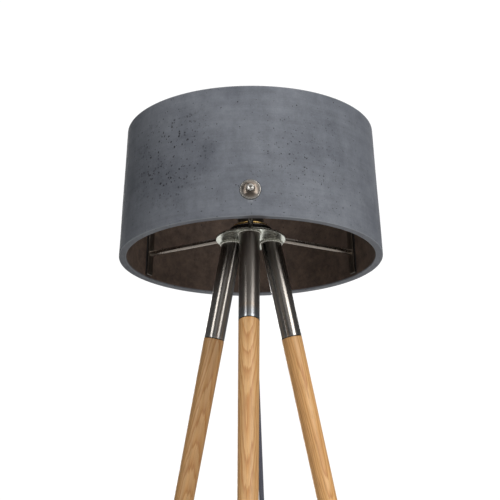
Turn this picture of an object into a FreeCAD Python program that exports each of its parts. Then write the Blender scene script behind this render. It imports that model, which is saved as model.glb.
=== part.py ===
"""Tripod lamp with a cast concrete ring shade, in millimetres.

The shade's axis is the Z axis, the floor is z = 0 and the front leg stands towards -Y.
Every piece is a solid of its own, written to parts/NODE.step.
"""
import FreeCAD, Part
import math
import os

from FreeCAD import Rotation, Vector

os.makedirs("parts", exist_ok=True)

# ---- overall sizes -------------------------------------------------------------------------------
SHADE_RIM_Z = 1300.0       # lower edge of the shade above the floor
SHADE_H = 202.0            # height of the shade
SHADE_R_LOW = 200.0        # outer radius at the lower edge
SHADE_R_TOP = 190.0        # outer radius at the upper edge
SHADE_WALL = 11.0          # wall, measured level
SHADE_EDGE = 1.2           # worn chamfer on the four edges
SPIDER_ABOVE_RIM = 40.0    # the spider's rods above the lower edge

# ---- tripod --------------------------------------------------------------------------------------
PLATE_R = 53.0
PLATE_T = 3.0
PLATE_TOP_ABOVE_RIM = 34.0
LEG_TURN = -3.0            # the tripod's turn against the spider, degrees
LEG_PITCH_R = 34.4         # leg axes from the centre at the plate's underside
LEG_SPLAY = 12.91          # degrees from upright
SLEEVE_R = 15.5
SLEEVE_WALL = 2.2
SLEEVE_L = 150.0
BEAD_R = 1.9               # size of the weld fillet round a sleeve
LEG_FOOT_R = 11.2          # the turned leg tapers to this radius
TENON_L = 110.0
TENON_CLEARANCE = 0.1
PAD_T = 3.0
PAD_OVER_FOOT = 0.8        # the pad's radius over the leg's
LEG_OVER = 12.0            # bars start this far above the plate's underside before it trims them

# ---- spider and the shade's fixings --------------------------------------------------------------
HUB_R = 33.0
HUB_T = 13.5
HUB_EDGE = 1.0
ROD_R = 4.0
ROD_IN_HUB = 10.0          # depth of the rod's hole in the hub
ROD_FIT = 0.05             # clearance of the rod in that hole
TAB_W = 14.0
TAB_H = 70.0
TAB_T = 3.0
GASKET_T = 1.5
WALL_GAP = 0.2 + TAB_W ** 2 / 8 / (SHADE_R_TOP - SHADE_WALL)  # flat gasket's middle to the curved wall
SCREW_R = 3.0
SCREW_FIT = 0.05           # radial clearance of the screw in metal
SCREW_HEAD_R = 5.0
SCREW_HEAD_L = 6.0
SCREW_SOCKET = 5.0         # across the flats of the hexagon
SCREW_SOCKET_DEEP = 3.0
SCREW_IN_ROD = 12.0
WALL_HOLE_R = SCREW_R + 0.5
FLAT_WASHER_R = 14.5
FLAT_WASHER_T = 1.6
SEAT_MARGIN = 1.0          # the flat seat in the wall round the washer
CUP_WASHER_R = 12.0
CUP_WASHER_TOP_R = 7.0
CUP_WASHER_H = 3.0
CUP_WASHER_T = 1.0

# ---- lampholder, heights from the hub's top ------------------------------------------------------
CAP_R = 13.1               # the bulb's cap, a standard E27 screw
NIPPLE_R = 5.0
NIPPLE_BORE_R = 3.9
NUT_FIT = 0.1              # clearance of everything threaded on the nipple
NUT_FLATS = 15.0
NUT_T = 3.5
CUP_R = 28.0
CUP_H = 5.0
CUP_WALL = 1.2
HOLDER_R = 20.0
HOLDER_WALL = 2.2
HOLDER_FLOOR = 3.0
HOLDER_H = 46.0
LUG_R = 8.5
LUG_T = 0.8
INSERT_LIFT = 16.0         # the porcelain's underside above the holder's underside
INSERT_T = 12.0
SHELL_BORE_R = CAP_R + 0.4    # the shell clears the bulb's cap
SHELL_WALL = 0.4
SHELL_H = 16.0
COLLAR_H = 10.0
COLLAR_T = 2.8
SLIP_FIT = 0.05            # radial clearance of parts that slide together
FILL_FIT = 0.1             # radial clearance of parts that drop into a housing
TERMINAL_X = 9.0
TERMINAL_HEAD_R = 3.0
TERMINAL_HEAD_T = 2.5
TERMINAL_SHANK_R = 1.7
TERMINAL_SHANK_L = 6.0
TERMINAL_SLOT_W = 0.8
CONTACT_R = 4.0
CONTACT_T = 1.2
WIRE_R = 1.1
WIRE_PITCH_R = 2.2
WIRE_BEND_R = 1.4

# ---- bulb ----------------------------------------------------------------------------------------
BULB_LIFT = 0.3            # the tip above the centre contact
TIP_R = 4.8
TIP_T = 1.8
VITRITE_H = 3.2
CAP_WALL = 0.5
CAP_H = 22.0
BULB_R = 30.0
BULB_H = 82.0              # glass above the cap
BULB_NECK_R = CAP_R - 0.2
GLASS_T = 1.0
STEM_H = 42.0
STEM_LOW_R = 5.0
STEM_TOP_R = 2.5
FILAMENT_R = 0.9
FILAMENT_L = 34.0
FILAMENT_PITCH_R = 8.5
FILAMENTS = 4

# ---- cord ----------------------------------------------------------------------------------------
CORD_R = 3.6
GRIP_R = 8.5
GRIP_TIP_R = 4.8
GRIP_H = 40.0
GRIP_TAPER_H = 24.0
LAY_Z = CORD_R             # centre of a cord that lies on the floor
ENTRY_Z = 9.0              # centre of the cord's entries in the switch

# ---- foot switch, lengths along X ----------------------------------------------------------------
SWITCH_X = 77.0
SWITCH_Y = 171.0
SWITCH_L = 74.0
SWITCH_W = 34.0
SWITCH_BASE_H = 8.0
SWITCH_H = 24.0
SWITCH_WALL = 2.0
SWITCH_CORNER_R = 12.0
SWITCH_PAD_T = 1.5
GLAND_L = 18.0
GLAND_R = 6.5
GLAND_TIP_R = 4.4
BUTTON_R = 10.0
BUTTON_GAP = 0.4
BUTTON_PROUD = 4.0
BUTTON_SKIRT_H = 6.0
BUTTON_TRAVEL = 3.0
SWITCH_SCREW_R = 1.5
SWITCH_SCREW_HEAD_R = 3.0
SWITCH_SCREW_HEAD_T = 2.0
SWITCH_POST_WALL = 1.6
POST_FROM_END = 13.0
POST_FROM_SIDE = 7.0

# ---- coil and plug -------------------------------------------------------------------------------
COIL_X = -75.0
COIL_Y = 128.0
COIL_INNER_TURN_R = 35.4
COIL_OUTER_TURN_R = 42.8
COIL_LAYERS_H = 14.6
PLUG_Z = 19.0
PLUG_Y = 172.0
PLUG_TIP_X = -152.0        # where the cord enters the plug's grip
PLUG_GRIP_L = 30.0
PLUG_GRIP_R = 6.5
PLUG_R = 18.8
PLUG_L = 38.0
PLUG_NOSE_R = 13.0
PIN_R = 2.4
PIN_L = 19.0
PIN_PITCH = 19.0
CLIP_W = 6.0
CLIP_T = 0.8
CLIP_L = 15.0
CLIP_SLOT_L = 17.0
CLIP_SIDE_GAP = 0.2
PIN_DEEP = 12.0            # how far the pins run into the plug's body

# ---- places worked out from the sizes above ------------------------------------------------------
ROD_Z = SHADE_RIM_Z + SPIDER_ABOVE_RIM
PLATE_TOP = SHADE_RIM_Z + PLATE_TOP_ABOVE_RIM
PLATE_UNDER = PLATE_TOP - PLATE_T
HUB_TOP = PLATE_TOP + HUB_T
HOLDER_Z = HUB_TOP + CUP_H
INSERT_Z = HOLDER_Z + INSERT_LIFT
INSERT_TOP = INSERT_Z + INSERT_T
HOLDER_NUT_Z = HOLDER_Z + HOLDER_FLOOR
LUG_Z = HOLDER_NUT_Z + NUT_T
NIPPLE_TOP = LUG_Z + LUG_T + 1.0
LOCK_NUT_Z = PLATE_UNDER - NUT_T
GRIP_TIP_Z = LOCK_NUT_Z - GRIP_H
NIPPLE_LOW = LOCK_NUT_Z - GRIP_H + GRIP_TAPER_H
CONTACT_TOP = INSERT_TOP + CONTACT_T
TIP_Z = CONTACT_TOP + BULB_LIFT
CAP_Z = TIP_Z + TIP_T + VITRITE_H
CAP_TOP = CAP_Z + CAP_H
DRAFT = math.degrees(math.atan((SHADE_R_LOW - SHADE_R_TOP) / SHADE_H))
GLAND_REACH = SWITCH_L / 2 + GLAND_L
LEG_TOP = Vector(0, -LEG_PITCH_R, PLATE_UNDER)
LEG_DOWN = Vector(0, -math.sin(math.radians(LEG_SPLAY)), -math.cos(math.radians(LEG_SPLAY)))
SWITCH_POSTS = [(sx * (SWITCH_L / 2 - POST_FROM_END), sy * (SWITCH_W / 2 - POST_FROM_SIDE))
                for sx in (-1, 1) for sy in (-1, 1)]
BUTTON_TOP = SWITCH_H + BUTTON_PROUD
BUTTON_FLANGE_R = BUTTON_R + 1.6
BUTTON_LOW = SWITCH_H - SWITCH_WALL - BUTTON_SKIRT_H
ARMS = (("front", 0.0), ("right", 120.0), ("left", -120.0))

# The cord from the grip's tip to the foot switch. It hangs nearly straight and leans towards +X,
# turns on to the floor in three equal bends and sweeps round to the switch.
DROP_ROUTE = [
    (2.8, 0.0, GRIP_TIP_Z), (5.6, -0.3, 1184.0), (8.4, -0.9, 1080.0), (11.4, -1.8, 976.0),
    (14.4, -3.0, 872.0), (17.6, -4.4, 768.0), (20.8, -5.9, 664.0), (24.1, -7.4, 560.0),
    (27.4, -8.8, 456.0), (30.7, -10.0, 352.0), (33.7, -11.0, 250.0), (36.0, -11.7, 152.0),
    (37.6, -12.0, 73.0), (62.0, -10.0, 29.0), (105.0, -4.0, LAY_Z), (160.0, 10.0, LAY_Z),
    (200.0, 39.0, LAY_Z), (222.0, 80.0, LAY_Z), (220.0, 122.0, LAY_Z + 0.2), (198.0, 155.0, 4.6),
    (166.0, 171.2, 7.6), (SWITCH_X + GLAND_REACH, SWITCH_Y, ENTRY_Z),
]
# From the switch to the coil, and from the coil to the plug.
LEAD_IN_ROUTE = [
    (SWITCH_X - GLAND_REACH, SWITCH_Y, ENTRY_Z), (-8.0, 171.3, 6.2), (-40.0, 170.9, LAY_Z),
    (COIL_X, COIL_Y + COIL_OUTER_TURN_R, LAY_Z),
]
LEAD_OUT_ROUTE = [
    (COIL_X, COIL_Y + COIL_OUTER_TURN_R, COIL_LAYERS_H - CORD_R), (-102.0, 171.2, 12.6),
    (-128.0, 172.0, 17.2), (PLUG_TIP_X, PLUG_Y, PLUG_Z),
]

UP = Vector(0, 0, 1)
FRONT = Vector(0, -1, 0)


def cylinder(radius, low, high, x=0.0, y=0.0):
    return Part.makeCylinder(radius, high - low, Vector(x, y, low), UP)


def cone(low_r, high_r, low, high, x=0.0, y=0.0):
    return Part.makeCone(low_r, high_r, high - low, Vector(x, y, low), UP)


def tube(outer_r, inner_r, low, high):
    return cylinder(outer_r, low, high).cut(cylinder(inner_r, low - 1, high + 1))


def turned(points):
    """Solid of revolution about Z; the outline is a closed list of (radius, height)."""
    outline = Part.makePolygon([Vector(r, 0, z) for r, z in points + points[:1]])
    return Part.Face(outline).revolve(Vector(0, 0, 0), UP, 360)


def radial(radius, near, far, z):
    """Round bar pointing to the front, from near to far from the axis."""
    return Part.makeCylinder(radius, far - near, Vector(0, -near, z), FRONT)


def turn(shape, degrees, x=0.0, y=0.0):
    """A copy of the shape turned about an upright line."""
    copy = shape.copy()
    copy.rotate(Vector(x, y, 0), UP, degrees)
    return copy


def three(shape):
    """The shape once for each arm, as separate solids of one node."""
    return Part.makeCompound([turn(shape, angle) for _, angle in ARMS])


def hexagon(flats, low, high, bore_r):
    corner = flats / math.sqrt(3)
    points = [Vector(corner * math.cos(math.radians(60 * k)),
                     corner * math.sin(math.radians(60 * k)), low) for k in range(7)]
    nut = Part.Face(Part.makePolygon(points)).extrude(Vector(0, 0, high - low))
    return nut.cut(cylinder(bore_r, low - 1, high + 1))


def rounded_block(length, width, low, high, corner_r):
    """Upright block with rounded upright corners, centred on the axis."""
    block = Part.makeBox(length, width, high - low, Vector(-length / 2, -width / 2, low))
    upright = [e for e in block.Edges if abs(e.tangentAt(e.FirstParameter).z) > 0.99]
    return block.makeFillet(corner_r, upright)


def cord_path(points, bend_r=None):
    """Straight runs joined by tangent arcs, each as large as its two runs allow."""
    route = [Vector(*p) for p in points]
    edges, radii, start = [], [], route[0]
    for before, corner, after in zip(route, route[1:], route[2:]):
        to, away = (corner - before).normalize(), (after - corner).normalize()
        half = to.getAngle(away) / 2
        reach = 0.45 * min((corner - before).Length, (after - corner).Length)
        radius = bend_r or reach / math.tan(half)
        reach = radius * math.tan(half)
        enter, leave = corner - to * reach, corner + away * reach
        inward = (away - to).normalize()
        middle = corner + inward * (radius / math.cos(half) - radius)
        edges += [Part.LineSegment(start, enter).toShape(), Part.Arc(enter, middle, leave).toShape()]
        radii.append(radius)
        start = leave
    edges.append(Part.LineSegment(start, route[-1]).toShape())
    return Part.Wire(edges), radii


def cord_tube(name, points, radius, bend_r=None):
    path, radii = cord_path(points, bend_r)
    first = Vector(*points[1]) - Vector(*points[0])
    ring = Part.Wire(Part.Circle(Vector(*points[0]), first, radius).toShape())
    solid = Part.Solid(path.makePipeShell([ring], True, False))
    if solid.Volume < 0:
        solid.reverse()
    share = solid.Volume / (math.pi * radius ** 2 * path.Length)
    print(f"{name}: length {path.Length:.1f}, least radius {min(radii):.1f}, volume share {share:.4f}")
    print(f"   radii {' '.join(f'{r:.0f}' for r in radii)}")
    return solid


# ---- shade and its fixings -----------------------------------------------------------------------
def outer_r(z):
    """The shade's outer radius at a height."""
    return SHADE_R_LOW + (SHADE_R_TOP - SHADE_R_LOW) * (z - SHADE_RIM_Z) / SHADE_H


def seat_reach():
    """How far the flat seat of the washers is from the axis: it just clears the cone's top edge."""
    edge = FLAT_WASHER_R
    return math.sqrt(outer_r(ROD_Z + edge) ** 2 - (edge * 0.5) ** 2)


def shade_ring():
    top, e = SHADE_RIM_Z + SHADE_H, SHADE_EDGE
    low, high = SHADE_R_LOW, SHADE_R_TOP
    ring = turned([
        (low - e, SHADE_RIM_Z), (low, SHADE_RIM_Z + e), (high, top - e), (high - e, top),
        (high - SHADE_WALL + e, top), (high - SHADE_WALL, top - e),
        (low - SHADE_WALL, SHADE_RIM_Z + e), (low - SHADE_WALL + e, SHADE_RIM_Z),
    ])
    for _, angle in ARMS:
        hole = radial(WALL_HOLE_R, SHADE_R_TOP - 2 * SHADE_WALL, SHADE_R_LOW + 1, ROD_Z)
        seat = radial(FLAT_WASHER_R + SEAT_MARGIN, seat_reach(), SHADE_R_LOW + 5, ROD_Z)
        ring = ring.cut(turn(hole, angle)).cut(turn(seat, angle))
    return ring


def against_wall(near, far, width, height):
    """Block that leans with the wall, from near to far inside its inner face."""
    block = Part.makeBox(width, far - near, height, Vector(-width / 2, near, -height / 2))
    block.rotate(Vector(0, 0, 0), Vector(1, 0, 0), -DRAFT)
    block.translate(Vector(0, SHADE_WALL - outer_r(ROD_Z), ROD_Z))
    return block


def through_screw(shape):
    reach = radial(SCREW_R + SCREW_FIT, SHADE_R_TOP / 2, SHADE_R_LOW, ROD_Z)
    return shape.cut(reach)


def wall_gasket():
    return through_screw(against_wall(WALL_GAP, WALL_GAP + GASKET_T, TAB_W, TAB_H))


def wall_tab():
    near = WALL_GAP + GASKET_T
    return through_screw(against_wall(near, near + TAB_T, TAB_W, TAB_H))


def spider_rod():
    rod = radial(ROD_R, HUB_R - ROD_IN_HUB, SHADE_R_LOW, ROD_Z)
    wall_side = against_wall(-2 * SHADE_WALL, WALL_GAP + GASKET_T + TAB_T, 4 * TAB_W, 4 * TAB_H)
    rod = rod.cut(wall_side)
    tip = -rod.BoundBox.YMin
    return rod.cut(radial(SCREW_R + SCREW_FIT, tip - SCREW_IN_ROD - 1, SHADE_R_LOW, ROD_Z))


def spider_hub():
    hub = cylinder(HUB_R, PLATE_TOP, HUB_TOP)
    rims = [e for e in hub.Edges if hasattr(e.Curve, "Radius") and e.Length > HUB_R]
    hub = hub.makeChamfer(HUB_EDGE, rims)
    hub = hub.cut(cylinder(NIPPLE_R + NUT_FIT, PLATE_TOP - 1, HUB_TOP + 1))
    for _, angle in ARMS:
        hole = radial(ROD_R + ROD_FIT, HUB_R - ROD_IN_HUB, HUB_R + 1, ROD_Z)
        hub = hub.cut(turn(hole, angle))
    return hub


def washer(radius, near, thick):
    return radial(radius, near, near + thick, ROD_Z).cut(
        radial(SCREW_R + SCREW_FIT, near - 1, near + thick + 1, ROD_Z))


def cup_washer():
    """Dished washer: a thin cone with its wide side against the flat washer."""
    near = seat_reach() + FLAT_WASHER_T
    skin, thick = CUP_WASHER_H, CUP_WASHER_T
    profile = [
        (SCREW_R + SCREW_FIT, skin - thick), (CUP_WASHER_TOP_R - thick / 2, skin - thick),
        (CUP_WASHER_R - thick, 0), (CUP_WASHER_R, 0), (CUP_WASHER_R, thick / 2),
        (CUP_WASHER_TOP_R, skin), (SCREW_R + SCREW_FIT, skin),
    ]
    dish = turned(profile)
    dish.rotate(Vector(0, 0, 0), Vector(1, 0, 0), 90)
    dish.translate(Vector(0, -near, ROD_Z))
    return dish


def fixing_screw():
    head = seat_reach() + FLAT_WASHER_T + CUP_WASHER_H
    rod_end = outer_r(ROD_Z) - SHADE_WALL - WALL_GAP - GASKET_T - TAB_T
    shank = radial(SCREW_R, rod_end - SCREW_IN_ROD, head, ROD_Z)
    cap = radial(SCREW_HEAD_R, head, head + SCREW_HEAD_L, ROD_Z)
    rim = [e for e in cap.Edges if e.BoundBox.YLength < 0.01 and e.BoundBox.YMin < -head - 1]
    cap = cap.makeChamfer(0.6, rim)
    return shank.fuse(cap).removeSplitter().cut(key_socket(head))


def key_socket(head):
    """The hexagon socket in the screw's head."""
    corner = SCREW_SOCKET / math.sqrt(3)
    face_y = -(head + SCREW_HEAD_L)
    points = [Vector(corner * math.cos(math.radians(60 * k)), face_y - 1,
                     ROD_Z + corner * math.sin(math.radians(60 * k))) for k in range(7)]
    return Part.Face(Part.makePolygon(points)).extrude(Vector(0, SCREW_SOCKET_DEEP + 1, 0))


# ---- tripod --------------------------------------------------------------------------------------


def leg_bar(low_r, high_r, start, end):
    """Round bar along the front leg's axis; start and end count from the plate's underside."""
    base = LEG_TOP + LEG_DOWN * start
    if abs(low_r - high_r) < 1e-9:
        return Part.makeCylinder(low_r, end - start, base, LEG_DOWN)
    return Part.makeCone(high_r, low_r, end - start, base, LEG_DOWN)


def below(z):
    return Part.makeBox(2000, 2000, 3000, Vector(-1000, -1000, z - 3000))


def sleeve():
    pipe = leg_bar(SLEEVE_R, SLEEVE_R, -LEG_OVER, SLEEVE_L)
    pipe = pipe.cut(leg_bar(SLEEVE_R - SLEEVE_WALL, SLEEVE_R - SLEEVE_WALL, -LEG_OVER - 1, SLEEVE_L + 1))
    return pipe.common(below(PLATE_UNDER))


def weld_bead():
    """Fillet of weld in the corner between the sleeve and the plate."""
    bead = leg_bar(SLEEVE_R, SLEEVE_R + 2 * BEAD_R, -BEAD_R, BEAD_R * 1.6)
    bead = bead.cut(leg_bar(SLEEVE_R, SLEEVE_R, -LEG_OVER, SLEEVE_L))
    return bead.common(below(PLATE_UNDER))


def wood_leg():
    """Turned leg: a tenon up in the sleeve, then a long taper cut level at the pad."""
    length = (PLATE_UNDER - PAD_T) / math.cos(math.radians(LEG_SPLAY))
    spare = 2 * LEG_FOOT_R * math.tan(math.radians(LEG_SPLAY))
    slope = (SLEEVE_R - LEG_FOOT_R) / (length - SLEEVE_L)
    taper = leg_bar(LEG_FOOT_R - slope * spare, SLEEVE_R, SLEEVE_L, length + spare)
    tenon_r = SLEEVE_R - SLEEVE_WALL - TENON_CLEARANCE
    tenon = leg_bar(tenon_r, tenon_r, SLEEVE_L - TENON_L, SLEEVE_L)
    floor_cut = Part.makeBox(2000, 2000, 500, Vector(-1000, -1000, PAD_T - 500))
    return taper.fuse(tenon).removeSplitter().cut(floor_cut)


def foot_pad():
    reach = LEG_PITCH_R + (PLATE_UNDER - PAD_T) * math.tan(math.radians(LEG_SPLAY))
    return cylinder(LEG_FOOT_R + PAD_OVER_FOOT, 0, PAD_T, 0, -reach)


def tripod_plate():
    return tube(PLATE_R, NIPPLE_R + NUT_FIT, PLATE_UNDER, PLATE_TOP)


# ---- lampholder ----------------------------------------------------------------------------------
def cup_cover():
    """Pressed brass cover between the hub and the lampholder."""
    top, wall, round_off = HOLDER_Z, CUP_WALL, CUP_H / 2
    bore = NIPPLE_R + NUT_FIT
    return turned([
        (CUP_R, HUB_TOP), (CUP_R, top - round_off), (CUP_R - round_off, top), (bore, top),
        (bore, top - wall), (CUP_R - round_off - wall / 2, top - wall),
        (CUP_R - wall, top - round_off - wall / 2), (CUP_R - wall, HUB_TOP),
    ])


def holder_body():
    body = tube(HOLDER_R, NIPPLE_R + NUT_FIT, HOLDER_Z, HOLDER_Z + HOLDER_H)
    hollow = cylinder(HOLDER_R - HOLDER_WALL, HOLDER_Z + HOLDER_FLOOR, HOLDER_Z + HOLDER_H + 1)
    return body.cut(hollow)


def porcelain_insert():
    insert = cylinder(HOLDER_R - HOLDER_WALL - FILL_FIT, INSERT_Z, INSERT_TOP)
    for side in (-1, 1):
        insert = insert.cut(cylinder(TERMINAL_SHANK_R + SLIP_FIT, INSERT_Z - 1,
                                     INSERT_Z + TERMINAL_SHANK_L + 0.5, side * TERMINAL_X, 0))
    return insert


def terminal_screws():
    screws = []
    for side in (-1, 1):
        x = side * TERMINAL_X
        head = cylinder(TERMINAL_HEAD_R, INSERT_Z - TERMINAL_HEAD_T, INSERT_Z, x, 0)
        slot = Part.makeBox(3 * TERMINAL_HEAD_R, TERMINAL_SLOT_W, TERMINAL_SLOT_W + 0.1,
                            Vector(x - 1.5 * TERMINAL_HEAD_R, -TERMINAL_SLOT_W / 2,
                                   INSERT_Z - TERMINAL_HEAD_T - 0.1))
        shank = cylinder(TERMINAL_SHANK_R, INSERT_Z, INSERT_Z + TERMINAL_SHANK_L, x, 0)
        screws.append(head.fuse(shank).removeSplitter().cut(slot))
    return Part.makeCompound(screws)


def inner_wires():
    """Live and neutral run up the nipple to the terminals, earth to its lug."""
    terminal_z = INSERT_Z - TERMINAL_HEAD_T / 2
    reach = TERMINAL_X - TERMINAL_HEAD_R
    low = NIPPLE_LOW + 0.2
    x, y = WIRE_PITCH_R * 0.87, -WIRE_PITCH_R * 0.5
    routes = [
        [(side * x, y, low), (side * x, y, terminal_z), (side * reach, y * 0.2, terminal_z)]
        for side in (-1, 1)
    ]
    over = NIPPLE_TOP + WIRE_R + 0.6
    earth_y = (NIPPLE_R + LUG_R) / 2 + 0.2
    routes.append([(0, WIRE_PITCH_R, low), (0, WIRE_PITCH_R, over), (0, earth_y, over),
                   (0, earth_y, LUG_Z + LUG_T)])
    return Part.makeCompound([cord_tube("inner wire", r, WIRE_R, WIRE_BEND_R) for r in routes])


def threaded_nipple():
    return tube(NIPPLE_R, NIPPLE_BORE_R, NIPPLE_LOW, NIPPLE_TOP)


def cord_grip():
    """Moulded strain relief: a parallel body on the nipple, then a taper down the cord."""
    neck = GRIP_TIP_Z + GRIP_TAPER_H
    grip = turned([
        (0, GRIP_TIP_Z), (GRIP_TIP_R, GRIP_TIP_Z), (GRIP_R, neck), (GRIP_R, LOCK_NUT_Z), (0, LOCK_NUT_Z),
    ])
    return grip.cut(cylinder(NIPPLE_R + NUT_FIT, NIPPLE_LOW, LOCK_NUT_Z + 1))


def thread_shell():
    return tube(SHELL_BORE_R + SHELL_WALL, SHELL_BORE_R, INSERT_TOP, INSERT_TOP + SHELL_H)


def centre_contact():
    return cylinder(CONTACT_R, INSERT_TOP, CONTACT_TOP)


def holder_collar():
    top = HOLDER_Z + HOLDER_H
    return tube(HOLDER_R + COLLAR_T, HOLDER_R + SLIP_FIT, top - COLLAR_H, top)


# ---- bulb ----------------------------------------------------------------------------------------
def bulb_glass():
    """Pear shape: a quarter arc swells from the neck into the sphere, all in one thin wall."""
    centre_z = CAP_TOP + BULB_H - BULB_R

    def skin(radius, neck_r):
        join = math.radians(-38)
        on_ball = Vector(radius * math.cos(join), 0, centre_z + radius * math.sin(join))
        side = Vector(radius, 0, centre_z)
        crown = Vector(0, 0, centre_z + radius)
        neck = Vector(neck_r, 0, CAP_TOP)
        flare = Vector(neck_r + 1.6, 0, CAP_TOP + (on_ball.z - CAP_TOP) * 0.52)
        lower = Part.BSplineCurve()
        lower.interpolate([neck, flare, on_ball], InitialTangent=Vector(0, 0, 1),
                          FinalTangent=Vector(-math.sin(join), 0, math.cos(join)))
        ball = Part.Arc(on_ball, side, Vector(radius * math.cos(0.8), 0, centre_z + radius * math.sin(0.8)))
        top = Part.Arc(Vector(radius * math.cos(0.8), 0, centre_z + radius * math.sin(0.8)),
                       Vector(radius * math.cos(1.2), 0, centre_z + radius * math.sin(1.2)), crown)
        edges = [lower.toShape(), ball.toShape(), top.toShape(),
                 Part.LineSegment(crown, Vector(0, 0, CAP_TOP)).toShape(),
                 Part.LineSegment(Vector(0, 0, CAP_TOP), neck).toShape()]
        return Part.Face(Part.Wire(edges)).revolve(Vector(0, 0, 0), UP, 360)

    return skin(BULB_R, BULB_NECK_R).cut(skin(BULB_R - GLASS_T, BULB_NECK_R - GLASS_T))


def bulb_cap():
    return turned([
        (CAP_R - CAP_WALL, CAP_Z), (CAP_R, CAP_Z), (CAP_R, CAP_TOP), (CAP_R - CAP_WALL, CAP_TOP),
    ])


def bulb_insulator():
    low = TIP_Z + TIP_T
    inner = CAP_R - CAP_WALL
    return turned([(0, low), (TIP_R, low), (inner, CAP_Z), (inner, CAP_Z + 1.0), (0, CAP_Z + 1.0)])


def bulb_stem():
    foot = cylinder(BULB_NECK_R - GLASS_T - 0.4, CAP_TOP - 2.0, CAP_TOP - 0.5)
    return foot.fuse(cone(STEM_LOW_R, STEM_TOP_R, CAP_TOP - 0.5, CAP_TOP + STEM_H)).removeSplitter()


def bulb_filaments():
    """Slim light bars leaning in towards the top of the stem."""
    low = CAP_TOP + STEM_H * 0.35
    lean = Vector(-0.12, 0, 1).normalize()
    bar = Part.makeCylinder(FILAMENT_R, FILAMENT_L, Vector(FILAMENT_PITCH_R, 0, low), lean)
    return Part.makeCompound([turn(bar, 45 + 360 / FILAMENTS * k) for k in range(FILAMENTS)])


# ---- foot switch ---------------------------------------------------------------------------------
def at_switch(shape):
    shape.translate(Vector(SWITCH_X, SWITCH_Y, 0))
    return shape


def switch_entries():
    start = Vector(-SWITCH_L / 2 - 1, 0, ENTRY_Z)
    return Part.makeCylinder(GLAND_R + SLIP_FIT, SWITCH_L + 2, start, Vector(1, 0, 0))


def switch_base():
    base = rounded_block(SWITCH_L, SWITCH_W, SWITCH_PAD_T, SWITCH_BASE_H, SWITCH_CORNER_R)
    inner = rounded_block(SWITCH_L - 2 * SWITCH_WALL, SWITCH_W - 2 * SWITCH_WALL,
                          SWITCH_PAD_T + SWITCH_WALL, SWITCH_BASE_H + 1, SWITCH_CORNER_R - SWITCH_WALL)
    base = base.cut(inner).cut(switch_entries())
    for sx, sy in SWITCH_POSTS:
        post = cylinder(SWITCH_SCREW_HEAD_R + 1.2, SWITCH_PAD_T, SWITCH_BASE_H, sx, sy)
        base = base.fuse(post).removeSplitter()
        base = base.cut(cylinder(SWITCH_SCREW_R + 0.1, 0, SWITCH_BASE_H + 1, sx, sy))
        base = base.cut(cylinder(SWITCH_SCREW_HEAD_R + 0.1, 0, SWITCH_PAD_T + SWITCH_SCREW_HEAD_T, sx, sy))
    return at_switch(base)




def switch_cover():
    cover = rounded_block(SWITCH_L, SWITCH_W, SWITCH_BASE_H, SWITCH_H, SWITCH_CORNER_R)
    top = [e for e in cover.Edges if e.BoundBox.ZMin > SWITCH_H - 0.01]
    cover = cover.makeFillet(SWITCH_WALL * 1.2, top)
    inner = rounded_block(SWITCH_L - 2 * SWITCH_WALL, SWITCH_W - 2 * SWITCH_WALL,
                          SWITCH_BASE_H - 1, SWITCH_H - SWITCH_WALL, SWITCH_CORNER_R - SWITCH_WALL)
    cover = cover.cut(inner).cut(switch_entries())
    cover = cover.cut(cylinder(BUTTON_R + BUTTON_GAP, SWITCH_BASE_H, SWITCH_H + 1))
    for sx, sy in SWITCH_POSTS:
        post = cylinder(SWITCH_SCREW_R + SWITCH_POST_WALL, SWITCH_BASE_H, SWITCH_H - SWITCH_WALL, sx, sy)
        cover = cover.fuse(post).removeSplitter()
        cover = cover.cut(cylinder(SWITCH_SCREW_R + 0.05, SWITCH_BASE_H - 1, SWITCH_BASE_H + 9, sx, sy))
    return at_switch(cover)


def switch_button():
    button = turned([
        (0, BUTTON_LOW), (BUTTON_FLANGE_R, BUTTON_LOW), (BUTTON_FLANGE_R, BUTTON_LOW + 1.4),
        (BUTTON_R, BUTTON_LOW + 1.4), (BUTTON_R, BUTTON_TOP - 1.2), (BUTTON_R - 1.6, BUTTON_TOP),
        (0, BUTTON_TOP),
    ])
    return at_switch(button)


def switch_contacts():
    """The latching contact block under the button."""
    low = SWITCH_PAD_T + SWITCH_WALL
    high = BUTTON_LOW - BUTTON_TRAVEL - 0.6
    block = Part.makeBox(20, 12, high - low - 1.5, Vector(-10, -6, low))
    return at_switch(block.fuse(cylinder(3.0, high - 1.5, high)).removeSplitter())


def switch_screws():
    screws = []
    for sx, sy in SWITCH_POSTS:
        top = SWITCH_PAD_T + SWITCH_SCREW_HEAD_T
        head = cylinder(SWITCH_SCREW_HEAD_R, SWITCH_PAD_T, top, sx, sy)
        shank = cylinder(SWITCH_SCREW_R, top, SWITCH_BASE_H + 8, sx, sy)
        screws.append(head.fuse(shank).removeSplitter())
    return at_switch(Part.makeCompound(screws))


def switch_pad():
    return at_switch(rounded_block(SWITCH_L - 6, SWITCH_W - 6, 0, SWITCH_PAD_T, SWITCH_CORNER_R - 3))


def switch_glands():
    """Tapered strain reliefs, one at each end, clamped between base and cover."""
    glands = []
    for side in (-1, 1):
        start = side * (SWITCH_L / 2 - SWITCH_WALL)
        neck = Part.makeCylinder(GLAND_R, SWITCH_WALL, Vector(start, 0, ENTRY_Z), Vector(side, 0, 0))
        mouth = Vector(side * SWITCH_L / 2, 0, ENTRY_Z)
        taper = Part.makeCone(GLAND_R, GLAND_TIP_R, GLAND_L, mouth, Vector(side, 0, 0))
        glands.append(neck.fuse(taper).removeSplitter())
    return at_switch(Part.makeCompound(glands))


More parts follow.
